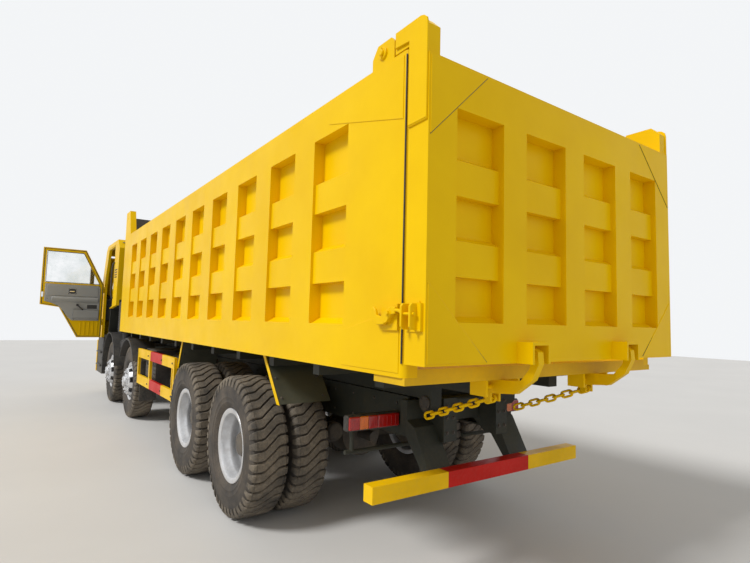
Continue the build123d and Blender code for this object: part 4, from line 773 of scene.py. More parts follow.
flapLook = {
    "strip": (1.104, 1.112),
    "thick": 0.024,
    "lines": (((0.352, 1.3297), (0.645, 0.978)), ((-1.973, 1.3297), (-2.13, 1.0))),   # y, z of top and foot
    "lip": 0.01,
    "overhang": 0.004,
    "boltShares": (0.12, 0.5, 0.88),
    "boltX": (1.07, 0.72),
}


def addFlapStrips(look):
    bag, dark = Bag("mudguard_edges", "bed", "yellowPaint"), Bag("mudguard_bolts", "bed", "hubGrey")
    lip, thick = look["lip"], look["thick"]
    for _ in eachSide():
        for (topY, topZ), (footY, footZ) in look["lines"]:
            low = footZ - look["overhang"]
            bag.prism([(topY - lip, topZ), (topY + thick + lip, topZ), (footY + thick + lip, low), (footY - lip, low)],
                      0, *look["strip"], 0.0025)
            out = Vector((topZ - footZ, footY - topY)).normalized()
            for share in look["boltShares"]:
                y, z = topY + (footY - topY) * share + thick, topZ + (footZ - topZ) * share
                for x in look["boltX"]:
                    dark.bolt((x, y, z), (0, *out), 0.009, 0.008)


# tail lamps: places on the left, mirrored for the right

lampLook = {
    "box": (0.434, 1.182, 0.862, 0.878, 1.238, 0.968),
    "lensY": (1.236, 1.25),
    "cells": ((0.444, 0.628, "red"), (0.63, 0.706, "red"), (0.708, 0.778, "amber"), (0.78, 0.868, "red")),
    "lensZ": (0.871, 0.959),
    "ribs": 5,
    "carrier": (0.4305, 1.168, 0.882, 0.86, 1.184, 0.95),
    "pipe": ((0.24, 1.196, 0.72), (0.8, 1.196, 0.72), (0.866, 1.196, 0.722)),
    "post": ((0.81, 1.196, 0.72), (0.81, 1.196, 0.8), (0.812, 1.192, 0.868)),
    "bolts": (0.52, 0.66, 0.79),
}


def addTailLamps(look):
    housing = Bag("tail_lamp_housings", "chassis", "darkPlastic", node="tail_lamps")
    frameBag = Bag("tail_lamp_brackets", "chassis", "framePaint")
    lenses = {shade: Bag("tail_lenses_" + shade, "chassis", shade + "Lens", "tail_lens") for shade in ("red", "amber")}
    (y0, y1), (z0, z1) = look["lensY"], look["lensZ"]
    for _ in eachSide():
        housing.blocks(0.01, look["box"])
        for x0, x1, shade in look["cells"]:
            lenses[shade].block((x0, y0, z0), (x1, y1, z1), 0.006)
            for k in range(1, look["ribs"]):
                x = x0 + (x1 - x0) * k / look["ribs"]
                lenses[shade].block((x - 0.0015, y1 - 0.002, z0 + 0.008), (x + 0.0015, y1 + 0.0015, z1 - 0.008), 0.001)
        frameBag.blocks(0.004, look["carrier"])
        frameBag.tube(smoothed(look["pipe"], 1), 0.0155, 14)
        frameBag.tube(look["post"], 0.015, 14)
        for x in look["bolts"]:
            frameBag.bolt((x, 1.168, 0.915), (0, -1, 0), 0.009, 0.009)


# chains: links of round bar on the line between two pins

chainLook = {
    "bar": 0.0085,
    "halfWidth": 0.0195,
    "pitch": 0.066,
    "gap": 0.0003,
    "reach": 0.011,           # the end links pass their pins by this
    "bend": 8,                # steps in half a turn
    "lines": (((0.445, 1.545, 0.985), (0.378, 2.05, 1.165)), ((-0.4, 1.6, 0.985), (-0.6, 2.05, 1.165))),
}


def addChains(look):
    bag = Bag("chain_links", "bed", "yellowPaint", smooth=60, node="chains")
    reach, half = look["reach"], look["halfWidth"]
    for low, top in look["lines"]:
        low, top = Vector(low), Vector(top)
        run = low - top
        taut = run.length + 2 * reach - look["gap"]
        count = round(taut / look["pitch"] / 2) * 2 + 1
        pitch, ahead = taut / count, run.normalized()
        across = (Vector((1, 0, 0)) - ahead * ahead.x).normalized()
        wides = (ahead.cross(across), across)
        straight = pitch / 2 + look["bar"] - half
        for i in range(count):
            middle = top + ahead * (pitch * (i + 0.5) - reach)
            path = []
            for way in (1, -1):
                for k in range(look["bend"] + 1):
                    turn = pi / 2 - pi * k / look["bend"]
                    bow = wides[i % 2] * way * half * sin(turn)
                    path.append(middle + ahead * way * (straight + half * cos(turn)) + bow)
            bag.tube(path, look["bar"], 10, True)


# hinge bolts under the tail, brake chambers and spring leaves

underLook = {
    "plateBolts": (0.232, 0.292),
    "plateBoltZ": (0.86, 0.96, 1.04),
    "shaft": (0.425, 1.5, 1.06),
    "shaftEnd": ((-0.002, 0.05), (0.008, 0.05), (0.012, 0.044)),
    "axles": ((0.0, -1), (-1.35, 1)),   # y, and the side on which the clamps stand
    "chamber": ((0, 0.03), (0.006, 0.078), (0.04, 0.08), (0.046, 0.09), (0.058, 0.09), (0.064, 0.08), (0.12, 0.078),
                (0.138, 0.06), (0.142, 0.02)),
    "clampX": (0.453, 0.557),
    "leaves": 8,
    "leafX": (0.461, 0.549),
    "leafThick": 0.01,
    "springY": -0.675,
}


def addUnderParts(look):
    bolts = Bag("hinge_bolts", "chassis", "castIron")
    bag = Bag("brakes_and_leaves", "chassis", "castIron")
    x, y, z = look["shaft"]
    middle, thick = look["springY"], look["leafThick"]
    for _ in eachSide():
        for boltX in look["plateBolts"]:
            for boltZ in look["plateBoltZ"]:
                bolts.bolt((boltX, 1.575, boltZ), (0, 1, 0), 0.011, 0.011)
        bolts.turned(look["shaft"], (1, 0, 0), look["shaftEnd"])
        for u, v in circle(4, 0.034, pi / 4):
            bolts.bolt((x + 0.01, y + u, z + v), (1, 0, 0), 0.006, 0.006)
        for axle, way in look["axles"]:
            bag.turned((0.33, axle + 0.1, 0.6), (0.1, 1, 0.25), look["chamber"], 28)
            for clampX in look["clampX"]:
                bag.tube([(clampX, axle + 0.04 * way, 0.49), (clampX, axle + 0.04 * way, 0.8)], 0.01)
        for k in range(look["leaves"]):
            share = 1 - k / look["leaves"]
            reach, top = 0.1 + 0.5 * share, 0.675 + 0.0125 * k
            under = [(middle + reach * part, top - 0.028 * share * (abs(part) == 1)) for part in (-1, -0.4, 0.4, 1)]
            bag.prism(under + [(y, z + thick) for y, z in under[::-1]], 0, *look["leafX"], 0.0015)


addFlapStrips(flapLook)
addTailLamps(lampLook)
addChains(chainLook)
addUnderParts(underLook)
print("mudguard strips, tail lamps, chains and springs made")

# doors: along runs back from the hinge, out runs away from the cab

doorLook = {
    "hinge": (1.236, -7.604),
    "outline": ((0.0, 1.15), (0.0, 2.22), (0.35, 2.9), (1.08, 2.9), (1.08, 1.785), (0.76, 1.74), (0.43, 1.15)),
    "window": ((0.078, 2.228), (0.392, 2.831), (1.011, 2.831), (1.011, 2.228)),
    "seals": (-0.0405, -0.0155),
    "trim": ((0.064, 1.486), (0.064, 2.15), (0.095, 2.19), (1.016, 2.19), (1.016, 1.852), (0.905, 1.822),
             (0.78, 1.765), (0.69, 1.67), (0.6, 1.54), (0.545, 1.486)),
    "trimOut": (-0.0405, -0.0655),
    "pad": ((0.1, 1.96), (0.1, 2.168), (0.985, 2.168), (0.985, 1.96)),
    "rest": ((-0.064, 1.95), (-0.098, 1.944), (-0.122, 1.926), (-0.126, 1.9), (-0.112, 1.872), (-0.064, 1.835)),
    "restEnds": (0.095, 0.9),
    "pocket": ((-0.064, 1.522), (-0.092, 1.528), (-0.112, 1.556), (-0.116, 1.69), (-0.106, 1.694), (-0.098, 1.568),
               (-0.085, 1.546), (-0.064, 1.542)),
    "pocketCap": ((-0.064, 1.522), (-0.092, 1.528), (-0.112, 1.556), (-0.116, 1.69), (-0.064, 1.69)),
    "pocketEnds": (0.085, 0.52),
    "bezel": ((0.485, 2.005), (0.625, 2.005), (0.625, 2.115), (0.485, 2.115)),
    "bezelBack": (0.485, -0.0695, 2.005, 0.625, -0.078, 2.115),
    "lever": (0.515, -0.0765, 2.045, 0.605, -0.0865, 2.066),
    "crank": ((0.455, -0.0795, 1.79), (0.41, -0.0915, 1.75), (0.365, -0.0935, 1.705)),
    "crankHub": ((-0.002, 0.024), (0.012, 0.022), (0.016, 0.014)),
    "knob": ((0, 0.013), (0.01, 0.017), (0.03, 0.015), (0.034, 0.01)),
    "speaker": (0.11, -0.0635, 1.725, 0.285, -0.0695, 1.8),
    "screws": ((0.09, 1.51), (0.5, 1.505), (0.09, 1.88), (0.97, 1.9), (0.97, 2.15)),
    "latch": (1.036, -0.052, 1.93, 1.072, -0.0395, 2.03),
    "ribs": (0.006, 0, (0.08, 0.155, 0.23, 0.305, 0.38), -0.014, -0.052, 1.195, 0.014, -0.0395, 1.462),
    "skin": ((0.045, 1.215), (0.045, 2.085), (1.035, 2.085), (1.035, 1.83), (0.735, 1.79), (0.405, 1.215)),
    "swage": (0.015, -0.0165, 2.122, 1.065, -0.007, 2.16),
    "handleDish": (0.855, -0.0165, 2.01, 1.0, -0.0065, 2.08),
    "handle": (0.87, -0.008, 2.036, 0.985, 0.012, 2.058),
}
mirrorLook = {
    "faces": ((0.128, 0.3, 2.205, 2.612), (0.136, 0.292, 2.068, 2.19)),   # out and z of each glass's housing
    "corner": 0.018,
    "along": (0.166, 0.24),
    "post": ((0.194, 0.214, 2.064), (0.194, 0.214, 2.616)),
    "feet": (2.13, 2.55),
    "foot": (0.003, 2, (2.13, 2.55), 0.18, -0.0165, -0.034, 0.232, -0.007, 0.034),
    "arm": ((0.206, -0.012, 0), (0.206, 0.06, 0.012), (0.206, 0.15, 0.012), (0.196, 0.214, 0)),
    "bolts": (-0.022, 0.022),
}


def onDoor(side):
    x, y = doorLook["hinge"]
    if side == "left":
        return lambda along, out, z: onTruck(x + along, y - out, z)
    return lambda along, out, z: onTruck(-x - out, y + along, z)


def chamfered(low, high, corner):
    (x0, z0), (x1, z1) = low, high
    return [(x0 + corner, z0), (x1 - corner, z0), (x1, z0 + corner), (x1, z1 - corner), (x1 - corner, z1),
            (x0 + corner, z1), (x0, z1 - corner), (x0, z0 + corner)]


def addMirror(dark, bright, look):
    near, far = look["along"]
    for out0, out1, z0, z1 in look["faces"]:
        outline = chamfered((out0, z0), (out1, z1), look["corner"])
        dark.prism(outline, 0, near, far, 0.012)
        bright.prism(insetOutline(outline, 0.014), 0, far - 0.002, far + 0.003, 0.001)
    dark.tube(look["post"], 0.0095, 12)
    dark.row(*look["foot"])
    for z in look["feet"]:
        dark.tube(smoothed([(along, out, z + rise) for along, out, rise in look["arm"]]), 0.0105, 12)
        for rise in look["bolts"]:
            dark.bolt((look["arm"][0][0], -0.007, z + rise), (0, 1, 0), 0.006, 0.005)


def addDoors(look):
    inner = look["trimOut"][1]
    for side in eachSide(onDoor):
        body = "door_" + side
        trim = Bag(body + "_lining", body, "trimGrey", node=body + "_trim")
        dark = Bag(body + "_fittings", body, "darkPlastic")
        bright, skin = Bag(body + "_bright", body, "mirrorFace"), Bag(body + "_pressings", body, "yellowPaint")
        trim.prism(look["trim"], 1, *look["trimOut"], 0.008)
        trim.prism(look["pad"], 1, inner + 0.004, inner - 0.01, 0.006)
        trim.prism(look["rest"], 0, *look["restEnds"], 0.008)
        trim.prism(look["pocket"], 0, *look["pocketEnds"], 0.001)
        for end in look["pocketEnds"]:
            trim.prism(look["pocketCap"], 0, end - 0.004, end + 0.004, 0.001)
        trim.tube(smoothed([(a, inner - 0.012, z) for a, z in look["bezel"]], 2, True), 0.006, 8, True)
        bright.blocks(0.004, look["lever"])
        bright.blocks(0.003, look["latch"])
        dark.blocks(0.003, look["bezelBack"])
        dark.blocks(0.005, look["speaker"])
        dark.blocks(0.006, look["handleDish"])
        dark.blocks(0.008, look["handle"])
        start, _, end = look["crank"]
        dark.turned((start[0], inner, start[2]), (0, -1, 0), look["crankHub"], 20)
        dark.tube(smoothed(look["crank"]), 0.01)
        dark.turned((end[0], inner - 0.024, end[2]), (0, -1, 0), look["knob"], 16)
        for a, z in look["screws"]:
            dark.bolt((a, inner, z), (0, -1, 0), 0.005, 0.003)
        for out in look["seals"]:
            dark.tube([(a, out, z) for a, z in look["window"]], 0.0065, 8, True)
        dark.tube([(p.x, -0.042, p.y) for p in insetOutline(look["outline"], 0.022)], 0.007, 8, True)
        skin.row(*look["ribs"])
        skin.prism(look["skin"], 1, -0.0165, -0.0115, 0.003)
        skin.blocks(0.004, look["swage"])
        addMirror(dark, bright, mirrorLook)


addDoors(doorLook)
print("doors and mirrors made")

# the cab's outside: seals, wipers, visor, roof, grille, vents, handles and steps
# a block runs from corner to corner; a row has its edge, axis and places before that

cabLook = {
    "screenFoot": (-8.01, 2.1),
    "screenUp": (0.4472, 0.8944),
    "screen": (1.032, 0.066, 0.752),        # half width, low and high edge along the slope
    "rearWindow": (0.518, 2.217, 2.763),
    "wipers": (0.8, 0.1, -0.6),
    "wiperFoot": 0.03,
    "wiperArm": ((0, 0.03, 0.02), (-0.14, 0.07, 0.034), (-0.36, 0.115, 0.018)),    # aside, up, off
    "wiperBlade": ((-0.64, 0.1, 0.01), (-0.36, 0.122, 0.016), (-0.06, 0.14, 0.01)),
    "wiperHub": ((-0.002, 0.022), (0.022, 0.018), (0.026, 0.012)),
    "visor": ((-7.612, 2.893), (-7.69, 2.868), (-7.852, 2.8), (-7.866, 2.778), (-7.846, 2.77), (-7.69, 2.842),
              (-7.632, 2.856)),
    "visorFeet": (0.002, 0, (-0.98, -0.33, 0.33, 0.98), -0.012, -7.66, 2.866, 0.012, -7.6, 2.902),
    "ribs": (0.006, 0, (-0.8, -0.48, 0.48, 0.8), -0.045, -7.25, 3.006, 0.045, -6.3, 3.018),
    "hatch": (-0.29, -7.05, 3.006, 0.29, -6.55, 3.04),
    "hatchSeal": (-0.3, -7.06, 3.005, 0.3, -6.54, 3.014),
    "markerFeet": (0.004, 0, (-0.92, -0.4, 0, 0.4, 0.92), -0.05, -7.42, 3.005, 0.05, -7.345, 3.016),
    "markers": (0.014, 0, (-0.92, -0.4, 0, 0.4, 0.92), -0.042, -7.415, 3.014, 0.042, -7.352, 3.04),
    "grille": (-0.872, -8.1045, 1.25, 0.872, -8.1005, 1.826),
    "bars": (0.001, 0, [-0.862 + 0.0431 * k for k in range(41)], -0.003, -8.112, 1.254, 0.003, -8.103, 1.822),
    "strips": (0.0015, 2, (1.275, 1.405, 1.535, 1.665, 1.795), -0.79, -8.1425, -0.005, 0.79, -8.139, 0.005),
    "panel": (-0.26, -8.108, 1.895, 0.26, -8.1, 1.975),
    "vents": (0.002, 2, (2.3, 2.345, 2.39, 2.435), 1.2185, -6.4, 0, 1.2225, -6.17, 0.022),
    "ventHoods": (0.003, 2, (2.3, 2.345, 2.39, 2.435), 1.2185, -6.41, 0.02, 1.227, -6.16, 0.028),
    "rail": ((1.218, -6.47, 1.92), (1.262, -6.47, 1.96), (1.262, -6.47, 2.56), (1.218, -6.47, 2.6)),
    "gutter": ((1.221, -7.24, 2.935), (1.221, -6.5, 2.935)),
    "sideSeam": ((1.2195, -6.505, 1.8), (1.2195, -6.505, 2.92)),
    "corner": (1.2185, -8.06, 1.5, 1.2235, -7.66, 2.02),
    "sideLamp": (1.2185, -7.98, 1.4, 1.233, -7.86, 1.45),
    "frontLamp": (1.02, -8.112, 1.62, 1.19, -8.099, 1.75),
    "bumperTread": (0.9, -8.15, 1.0785, 1.19, -8.04, 1.086),
    "steps": (0.6, 0.86),
    "stepPlates": (0.002, 2, (0.6, 0.86), 1.2135, -7.915, 0.03, 1.2175, -7.385, 0.17),
    "stepTreads": (0.004, 2, (0.6, 0.86), 1.2135, -7.925, -0.015, 1.25, -7.375, 0.012),
    "cleats": (0.002, 1, [-7.9 + 0.04 * k for k in range(13)]),
    "cleatX": (1.222, 1.246),
}


def onScreen(x, up, off=0.0):
    (y, z), rise = cabLook["screenFoot"], cabLook["screenUp"]
    return (x, y + rise[0] * up - rise[1] * off, z + rise[1] * up + rise[0] * off)


def addCabOutside(look):
    yellow, dark = Bag("cab_pressings", "chassis", "yellowPaint"), Bag("cab_fittings", "chassis", "darkPlastic")
    amber = Bag("cab_marker_lamps", "chassis", "amberLens")
    bright = Bag("cab_trim_strips", "chassis", "hubGrey", "hoist_chrome")
    half, low, high = look["screen"]
    dark.tube([onScreen(*p, 0.001) for p in ((-half, low), (half, low), (half, high), (-half, high))], 0.011, 10, True)
    half, low, high = look["rearWindow"]
    dark.tube([(x, -6.05, z) for x, z in ((-half, low), (half, low), (half, high), (-half, high))], 0.01, 10, True)
    for x in look["wipers"]:
        foot, (y, z) = onScreen(x, look["wiperFoot"]), look["screenUp"]
        dark.turned(foot, (0, -z, y), look["wiperHub"], 16)
        arm, blade = [[onScreen(x + aside, up, off) for aside, up, off in look[part]]
                      for part in ("wiperArm", "wiperBlade")]
        dark.tube(arm, 0.007)
        dark.tube(smoothed(blade), 0.006)
    dark.prism(look["visor"], 0, -1.03, 1.03, 0.006)
    dark.row(*look["visorFeet"])
    yellow.row(*look["ribs"])
    yellow.blocks(0.018, look["hatch"])
    dark.blocks(0.003, look["hatchSeal"])
    dark.row(*look["markerFeet"])
    amber.row(*look["markers"])
    dark.blocks(0.001, look["grille"])
    dark.row(*look["bars"])
    bright.row(*look["strips"])
    yellow.blocks(0.004, look["panel"])
    for _ in eachSide():
        dark.row(*look["vents"])
        yellow.row(*look["ventHoods"])
        dark.tube(smoothed(look["rail"]), 0.013, 12)
        yellow.tube(look["gutter"], 0.009, 8)
        yellow.tube(look["sideSeam"], 0.0015, 6)
        yellow.blocks(0.005, look["corner"])
        amber.blocks(0.006, look["sideLamp"])
        amber.blocks(0.005, look["frontLamp"])
        dark.blocks(0.003, look["bumperTread"])
        dark.row(*look["stepPlates"])
        dark.row(*look["stepTreads"])
        near, far = look["cleatX"]
        for z in look["steps"]:
            bright.row(*look["cleats"], near, 0, z + 0.01, far, 0.022, z + 0.016)


# headlamps: bowls, bulbs and a clear cover in a dark housing

headlampLook = {
    "housing": (0.722, -8.15, 0.642, 1.098, -8.1015, 0.848),
    "rim": ((0.721, 0.641, 1.099, 0.653), (0.721, 0.837, 1.099, 0.849), (0.721, 0.641, 0.733, 0.849),
            (1.089, 0.641, 1.099, 0.849)),
    "bowls": (0.805, 0.95),
    "bowl": ((0.004, 0.012), (0.006, 0.03), (0.014, 0.05), (0.026, 0.064), (0.028, 0.066)),
    "bulb": ((0, 0.012), (0.014, 0.011), (0.018, 0.006)),
    "cover": (0.732, -8.1815, 0.652, 1.021, -8.1785, 0.838),
    "amber": (1.024, -8.176, 0.655, 1.09, -8.148, 0.835),
}


def addHeadlamps(look):
    dark = Bag("headlamp_housings", "chassis", "darkPlastic", node="headlamps")
    bowls, cover = Bag("headlamp_bowls", "chassis", "mirrorFace"), Bag("headlamp_covers", "chassis", "windowGlass")
    amber = Bag("headlamp_indicators", "chassis", "amberLens")
    for _ in eachSide():
        dark.blocks(0.004, look["housing"])
        dark.blocks(0.002, *[(x0, -8.182, z0, x1, -8.145, z1) for x0, z0, x1, z1 in look["rim"]])
        for x in look["bowls"]:
            bowls.turned((x, -8.15, 0.745), (0, -1, 0), look["bowl"], 28)
            bowls.turned((x, -8.152, 0.745), (0, -1, 0), look["bulb"], 16)
        cover.blocks(0.001, look["cover"])
        amber.blocks(0.006, look["amber"])


addCabOutside(cabLook)
addHeadlamps(headlampLook)
print("cab outside made")

# fender lips, mud flaps, air cleaner, intake and silencer behind the cab

archLook = {
    "arches": ((-6.6, 0.562, 0.718, 0.15), (-4.8, 0.562, 0.673, 0.36)),   # y, z, radius, rise of the ends
    "archSteps": 24,
    "flap": (0.88, -4.13, 0.34, 1.12, -4.118, 0.93),
    "flapRail": (0.89, -4.24, 0.905, 1.115, -4.115, 0.925),
    "flapBolts": (0.93, 1.0, 1.07),
    "intake": (0.905, -6.015, 1.3, 1.17, -5.745, 1.85),
    "slatZ": [1.36 + 0.042 * k for k in range(11)],
    "slats": ((1.166, -5.985, 0, 1.178, -5.775, 0.016), (0.935, -5.749, 0, 1.14, -5.739, 0.016)),
    "duct": ((1.03, -5.88, 1.31), (1.03, -5.9, 1.24), (1.0, -5.94, 1.16)),
    "exhaust": ((-0.975, -5.57, 1.085), (-0.975, -5.46, 1.08), (-0.9, -5.42, 1.04), (-0.8, -5.42, 0.96)),
    "cleaner": ((0, 0.06), (0.004, 0.14), (0.03, 0.15), (0.06, 0.15), (0.066, 0.158), (0.086, 0.158), (0.092, 0.15),
                (0.38, 0.15), (0.386, 0.158), (0.4, 0.158), (0.43, 0.12), (0.434, 0.04)),
    "bands": (-5.86, -5.66),
    "brackets": (0.003, 1, (-5.86, -5.66), 0.435, 0, 1.06, 0.84, 0.028, 1.11),
    "band": ((0, 0.1505), (0.001, 0.1535), (0.027, 0.1535), (0.028, 0.1505)),
}


def addArchParts(look):
    dark = Bag("fender_lips_and_intake", "chassis", "darkPlastic")
    metal = Bag("silencer_and_brackets", "chassis", "tankMetal")
    for side in eachSide():
        for y, z, radius, rise in look["arches"]:
            start = Vector(((radius ** 2 - rise ** 2) ** 0.5, rise)).angle_signed(Vector((1, 0)))
            turns = [start + (pi - 2 * start) * k / look["archSteps"] for k in range(look["archSteps"] + 1)]
            dark.tube([(1.212, y + radius * cos(turn), z + radius * sin(turn)) for turn in turns], 0.01, 8)
        dark.blocks(0.003, look["flap"], look["flapRail"])
        for x in look["flapBolts"]:
            metal.bolt((x, -4.118, 0.87), (0, 1, 0), 0.007, 0.006)
        (metal if side == "right" else dark).turned((0.975, -5.985, 1.085), (0, 1, 0), look["cleaner"], 32)
        for y in look["bands"]:
            metal.turned((0.975, y, 1.085), (0, 1, 0), look["band"], 32)
        metal.row(*look["brackets"])
    dark.blocks(0.018, look["intake"])
    for corners in look["slats"]:
        dark.row(0.003, 2, look["slatZ"], *corners)
    dark.tube(smoothed(look["duct"]), 0.075, 20)
    metal.tube(smoothed(look["exhaust"], 3), 0.042, 20)


addArchParts(archLook)
print("arches and intake made")

# seats: padded cushions modelled with channels, on hard shells

seatLook = {
    "x": 0.62,
    "pads": (("cushion", 0, (-0.245, -7.515, 1.632), (0.245, -7.125, 1.748)),   # channels lie across the axis 0 or 2
             ("back", 0, (-0.24, -7.19, 1.74), (0.24, -7.085, 2.15)),
             ("headrest", 2, (-0.14, -7.18, 2.18), (0.14, -7.09, 2.352))),
    "grid": (36, 24),
    "square": 0.32,          # lower is squarer
    "channels": 5,
    "channelDepth": 0.01,
    "channelForm": 0.4,      # lower is narrower
    "fill": 0.7,
    "shell": ((-7.52, 1.6), (-7.072, 1.6), (-7.072, 2.14), (-7.1, 2.15), (-7.11, 1.66), (-7.5, 1.64), (-7.52, 1.63)),
    "foot": ((-0.13, 1.201), (0.13, 1.201), (0.09, 1.6), (-0.09, 1.6)),
    "folds": (0.01, 2, [1.27 + 0.05 * k for k in range(6)], -0.136, -7.386, 0, 0.136, -7.154, 0.026),
    "posts": (-0.07, 0.07),
    "lever": ((0.262, -7.3, 1.615), (0.276, -7.42, 1.615), (0.276, -7.46, 1.63)),
    "wheel": ((-0.002, 0.036), (0.014, 0.034), (0.018, 0.026)),
}


def addPillow(bag, low, high, look, across):
    around, up = look["grid"]
    middle, half = (Vector(high) + Vector(low)) / 2, (Vector(high) - Vector(low)) / 2

    def power(value):
        return abs(value) ** look["square"] * (1 if value > 0 else -1)

    vertices = []
    for j in range(up + 1):
        lean = -pi / 2 + pi * j / up
        for u, v in circle(around):
            unit = (power(cos(lean)) * power(u), power(cos(lean)) * power(v), power(sin(lean)))
            groove = abs(sin(pi * look["channels"] * (unit[across] + 1) / 2)) ** look["channelForm"]
            shrink = 1 - look["channelDepth"] * (1 - groove) / min(half)
            vertices.append(middle + Vector([unit[k] * half[k] * (shrink if k != across else 1) for k in range(3)]))
    bag.add(vertices, gridFaces(up + 1, around, False, True))


def onSeat(side):
    return lambda x, y, z: onTruck(sides[side] * (seatLook["x"] + x), y, z)


def addSeats(look):
    for side in eachSide(onSeat):
        for part, across, low, high in look["pads"]:
            first = part == "cushion" and side == "left"
            pad = Bag("seat_" + part + "_" + side, "chassis", "seatFabric", smooth=60,
                      node="seats" if first else None, fill=look["fill"])
            addPillow(pad, low, high, look, across)
    hard = Bag("seat_shells_and_feet", "chassis", "darkPlastic")
    for _ in eachSide(onSeat):
        hard.prism(look["shell"], 0, -0.255, 0.255, 0.006)
        hard.prism(look["foot"], 1, -7.38, -7.16, 0.006)
        hard.row(*look["folds"])
        for x in look["posts"]:
            hard.tube([(x, -7.135, 2.14), (x, -7.135, 2.2)], 0.007)
        hard.tube(smoothed(look["lever"]), 0.008, 8)
        hard.turned((0.256, -7.125, 1.66), (1, 0, 0), look["wheel"], 20)


# dashboard, steering wheel, levers, pedals and linings

dashLook = {
    "hood": ((-7.8, 2.012), (-7.93, 2.03), (-7.915, 2.075), (-7.8, 2.12), (-7.755, 2.125), (-7.752, 2.108),
             (-7.775, 2.1), (-7.78, 2.012)),
    "dials": ((0.525, 0.045), (0.625, 0.03), (0.715, 0.045)),   # x and radius
    "vents": (-0.95, -0.25, 0.02, 0.29, 0.95),
    "slats": (0.001, 2, [1.93 + 0.011 * k for k in range(5)]),
    "keys": (0.003, 0, [-0.14 + 0.041 * k for k in range(8)], 0, -7.729, 1.845, 0.032, -7.7205, 1.868),
    "knobs": (-0.1, 0.02, 0.14),
    "marks": (0.0005, 0, (-0.1, 0.02, 0.14), -0.0015, -7.7085, 1.79, 0.0015, -7.7045, 1.808),
    "needles": (0.0005, 0, (0.525, 0.625, 0.715), -0.0015, -7.777, 2.05, 0.0015, -7.774, 2.088),
    "knob": ((0, 0.022), (0.018, 0.02), (0.022, 0.014)),
    "darkPanels": ((0.003, -0.16, -7.736, 1.745, 0.2, -7.727, 1.88), (0.006, -1.02, -7.736, 1.56, -0.42, -7.727, 1.86),
                   (0.003, -1.16, -7.7, 1.2005, -0.425, -6.78, 1.208),
                   (0.003, 0.425, -7.7, 1.2005, 1.16, -6.78, 1.208)),   # edge, then corner to corner
    "linings": ((0.004, -0.77, -7.729, 1.8, -0.67, -7.7165, 1.82), (0.004, -1.16, -7.38, 2.948, 1.16, -6.13, 2.957),
                (0.005, -1.16, -6.122, 1.92, 1.16, -6.108, 2.195), (0.005, -1.16, -6.122, 2.2, -0.54, -6.108, 2.82),
                (0.005, 0.54, -6.122, 2.2, 1.16, -6.108, 2.82)),
    "hub": (0.62, -7.594, 2.08),
    "column": (0.0, 0.14, 0.38),
    "wheelRadius": 0.23,
    "boss": ((-0.03, 0.045), (-0.01, 0.085), (0.014, 0.088), (0.024, 0.076), (0.028, 0.05)),
    "spokes": ((0.05, -0.004), (0.14, -0.002), (0.23, 0)),      # out and along the column
    "spokeTurns": (0.0, pi, 1.5 * pi),
    "stalks": (((0.66, -7.68, 1.94), (0.78, -7.66, 1.97), (0.84, -7.63, 2.0)),
               ((0.58, -7.68, 1.94), (0.46, -7.66, 1.97), (0.4, -7.63, 2.0))),
    "gaiter": ((0, 0.075), (0.02, 0.07), (0.05, 0.045), (0.09, 0.034), (0.13, 0.02)),
    "shift": ((0.12, -7.28, 1.55), (0.125, -7.27, 1.68), (0.14, -7.3, 1.78)),
    "shiftKnob": ((0, 0.016), (0.015, 0.027), (0.035, 0.03), (0.055, 0.022), (0.062, 0.01)),
    "pedals": (0.49, 0.62, 0.75),
    "pedal": ((-7.86, 1.3), (-7.8, 1.245), (-7.79, 1.255), (-7.85, 1.312)),
}


def addDash(look):
    dark, pale = Bag("dash_fittings", "chassis", "darkPlastic"), Bag("cab_linings", "chassis", "trimGrey")
    bright = Bag("dial_rims", "chassis", "mirrorFace")
    dark.prism(look["hood"], 0, 0.4, 0.84, 0.004)
    for x, r in look["dials"]:
        rim = ((0, r - 0.006), (0.003, r), (0.008, r), (0.01, r - 0.005), (0.004, r - 0.007))
        bright.turned((x, -7.781, 2.062), (0, 1, 0), rim)
    for x in look["vents"]:
        dark.blocks(0.003, (x - 0.072, -7.736, 1.925, x + 0.072, -7.727, 1.99))
        pale.row(*look["slats"], x - 0.062, -7.73, 0, x + 0.062, -7.7225, 0.004)
    for row in ("needles", "keys", "marks"):
        pale.row(*look[row])
    for x in look["knobs"]:
        dark.turned((x, -7.728, 1.79), (0, 1, 0), look["knob"], 20)
    for bag, rows in ((dark, look["darkPanels"]), (pale, look["linings"])):
        for edge, *corners in rows:
            bag.blocks(edge, corners)
    hub, column = Vector(look["hub"]), Vector(look["column"]).normalized()
    across = Vector((1, 0, 0))
    over = column.cross(across)
    dark.tube([hub + across * u + over * v for u, v in circle(48, look["wheelRadius"])], 0.0175, 12, True)
    dark.turned(hub, column, look["boss"], 32)
    for turn in look["spokeTurns"]:
        out = across * cos(turn) + over * sin(turn)
        dark.tube(smoothed([hub + out * far + column * up for far, up in look["spokes"]]), 0.015)
    for stalk in look["stalks"]:
        dark.tube(smoothed(stalk), 0.007, 8)
    dark.turned((0.12, -7.28, 1.438), (0, 0, 1), look["gaiter"])
    dark.tube(smoothed(look["shift"]), 0.009)
    dark.turned((0.14, -7.302, 1.775), (0.05, -0.15, 1), look["shiftKnob"], 20)
    for x in look["pedals"]:
        dark.prism(look["pedal"], 0, x - 0.035, x + 0.035)
        dark.tube([(x, -7.842, 1.3), (x, -7.9, 1.46), (x, -7.93, 1.52)], 0.008, 8)


addSeats(seatLook)
addDash(dashLook)
print("seats and dashboard made")

# engine under the cab: outlines are x, z, and the places of its small parts run from its front face

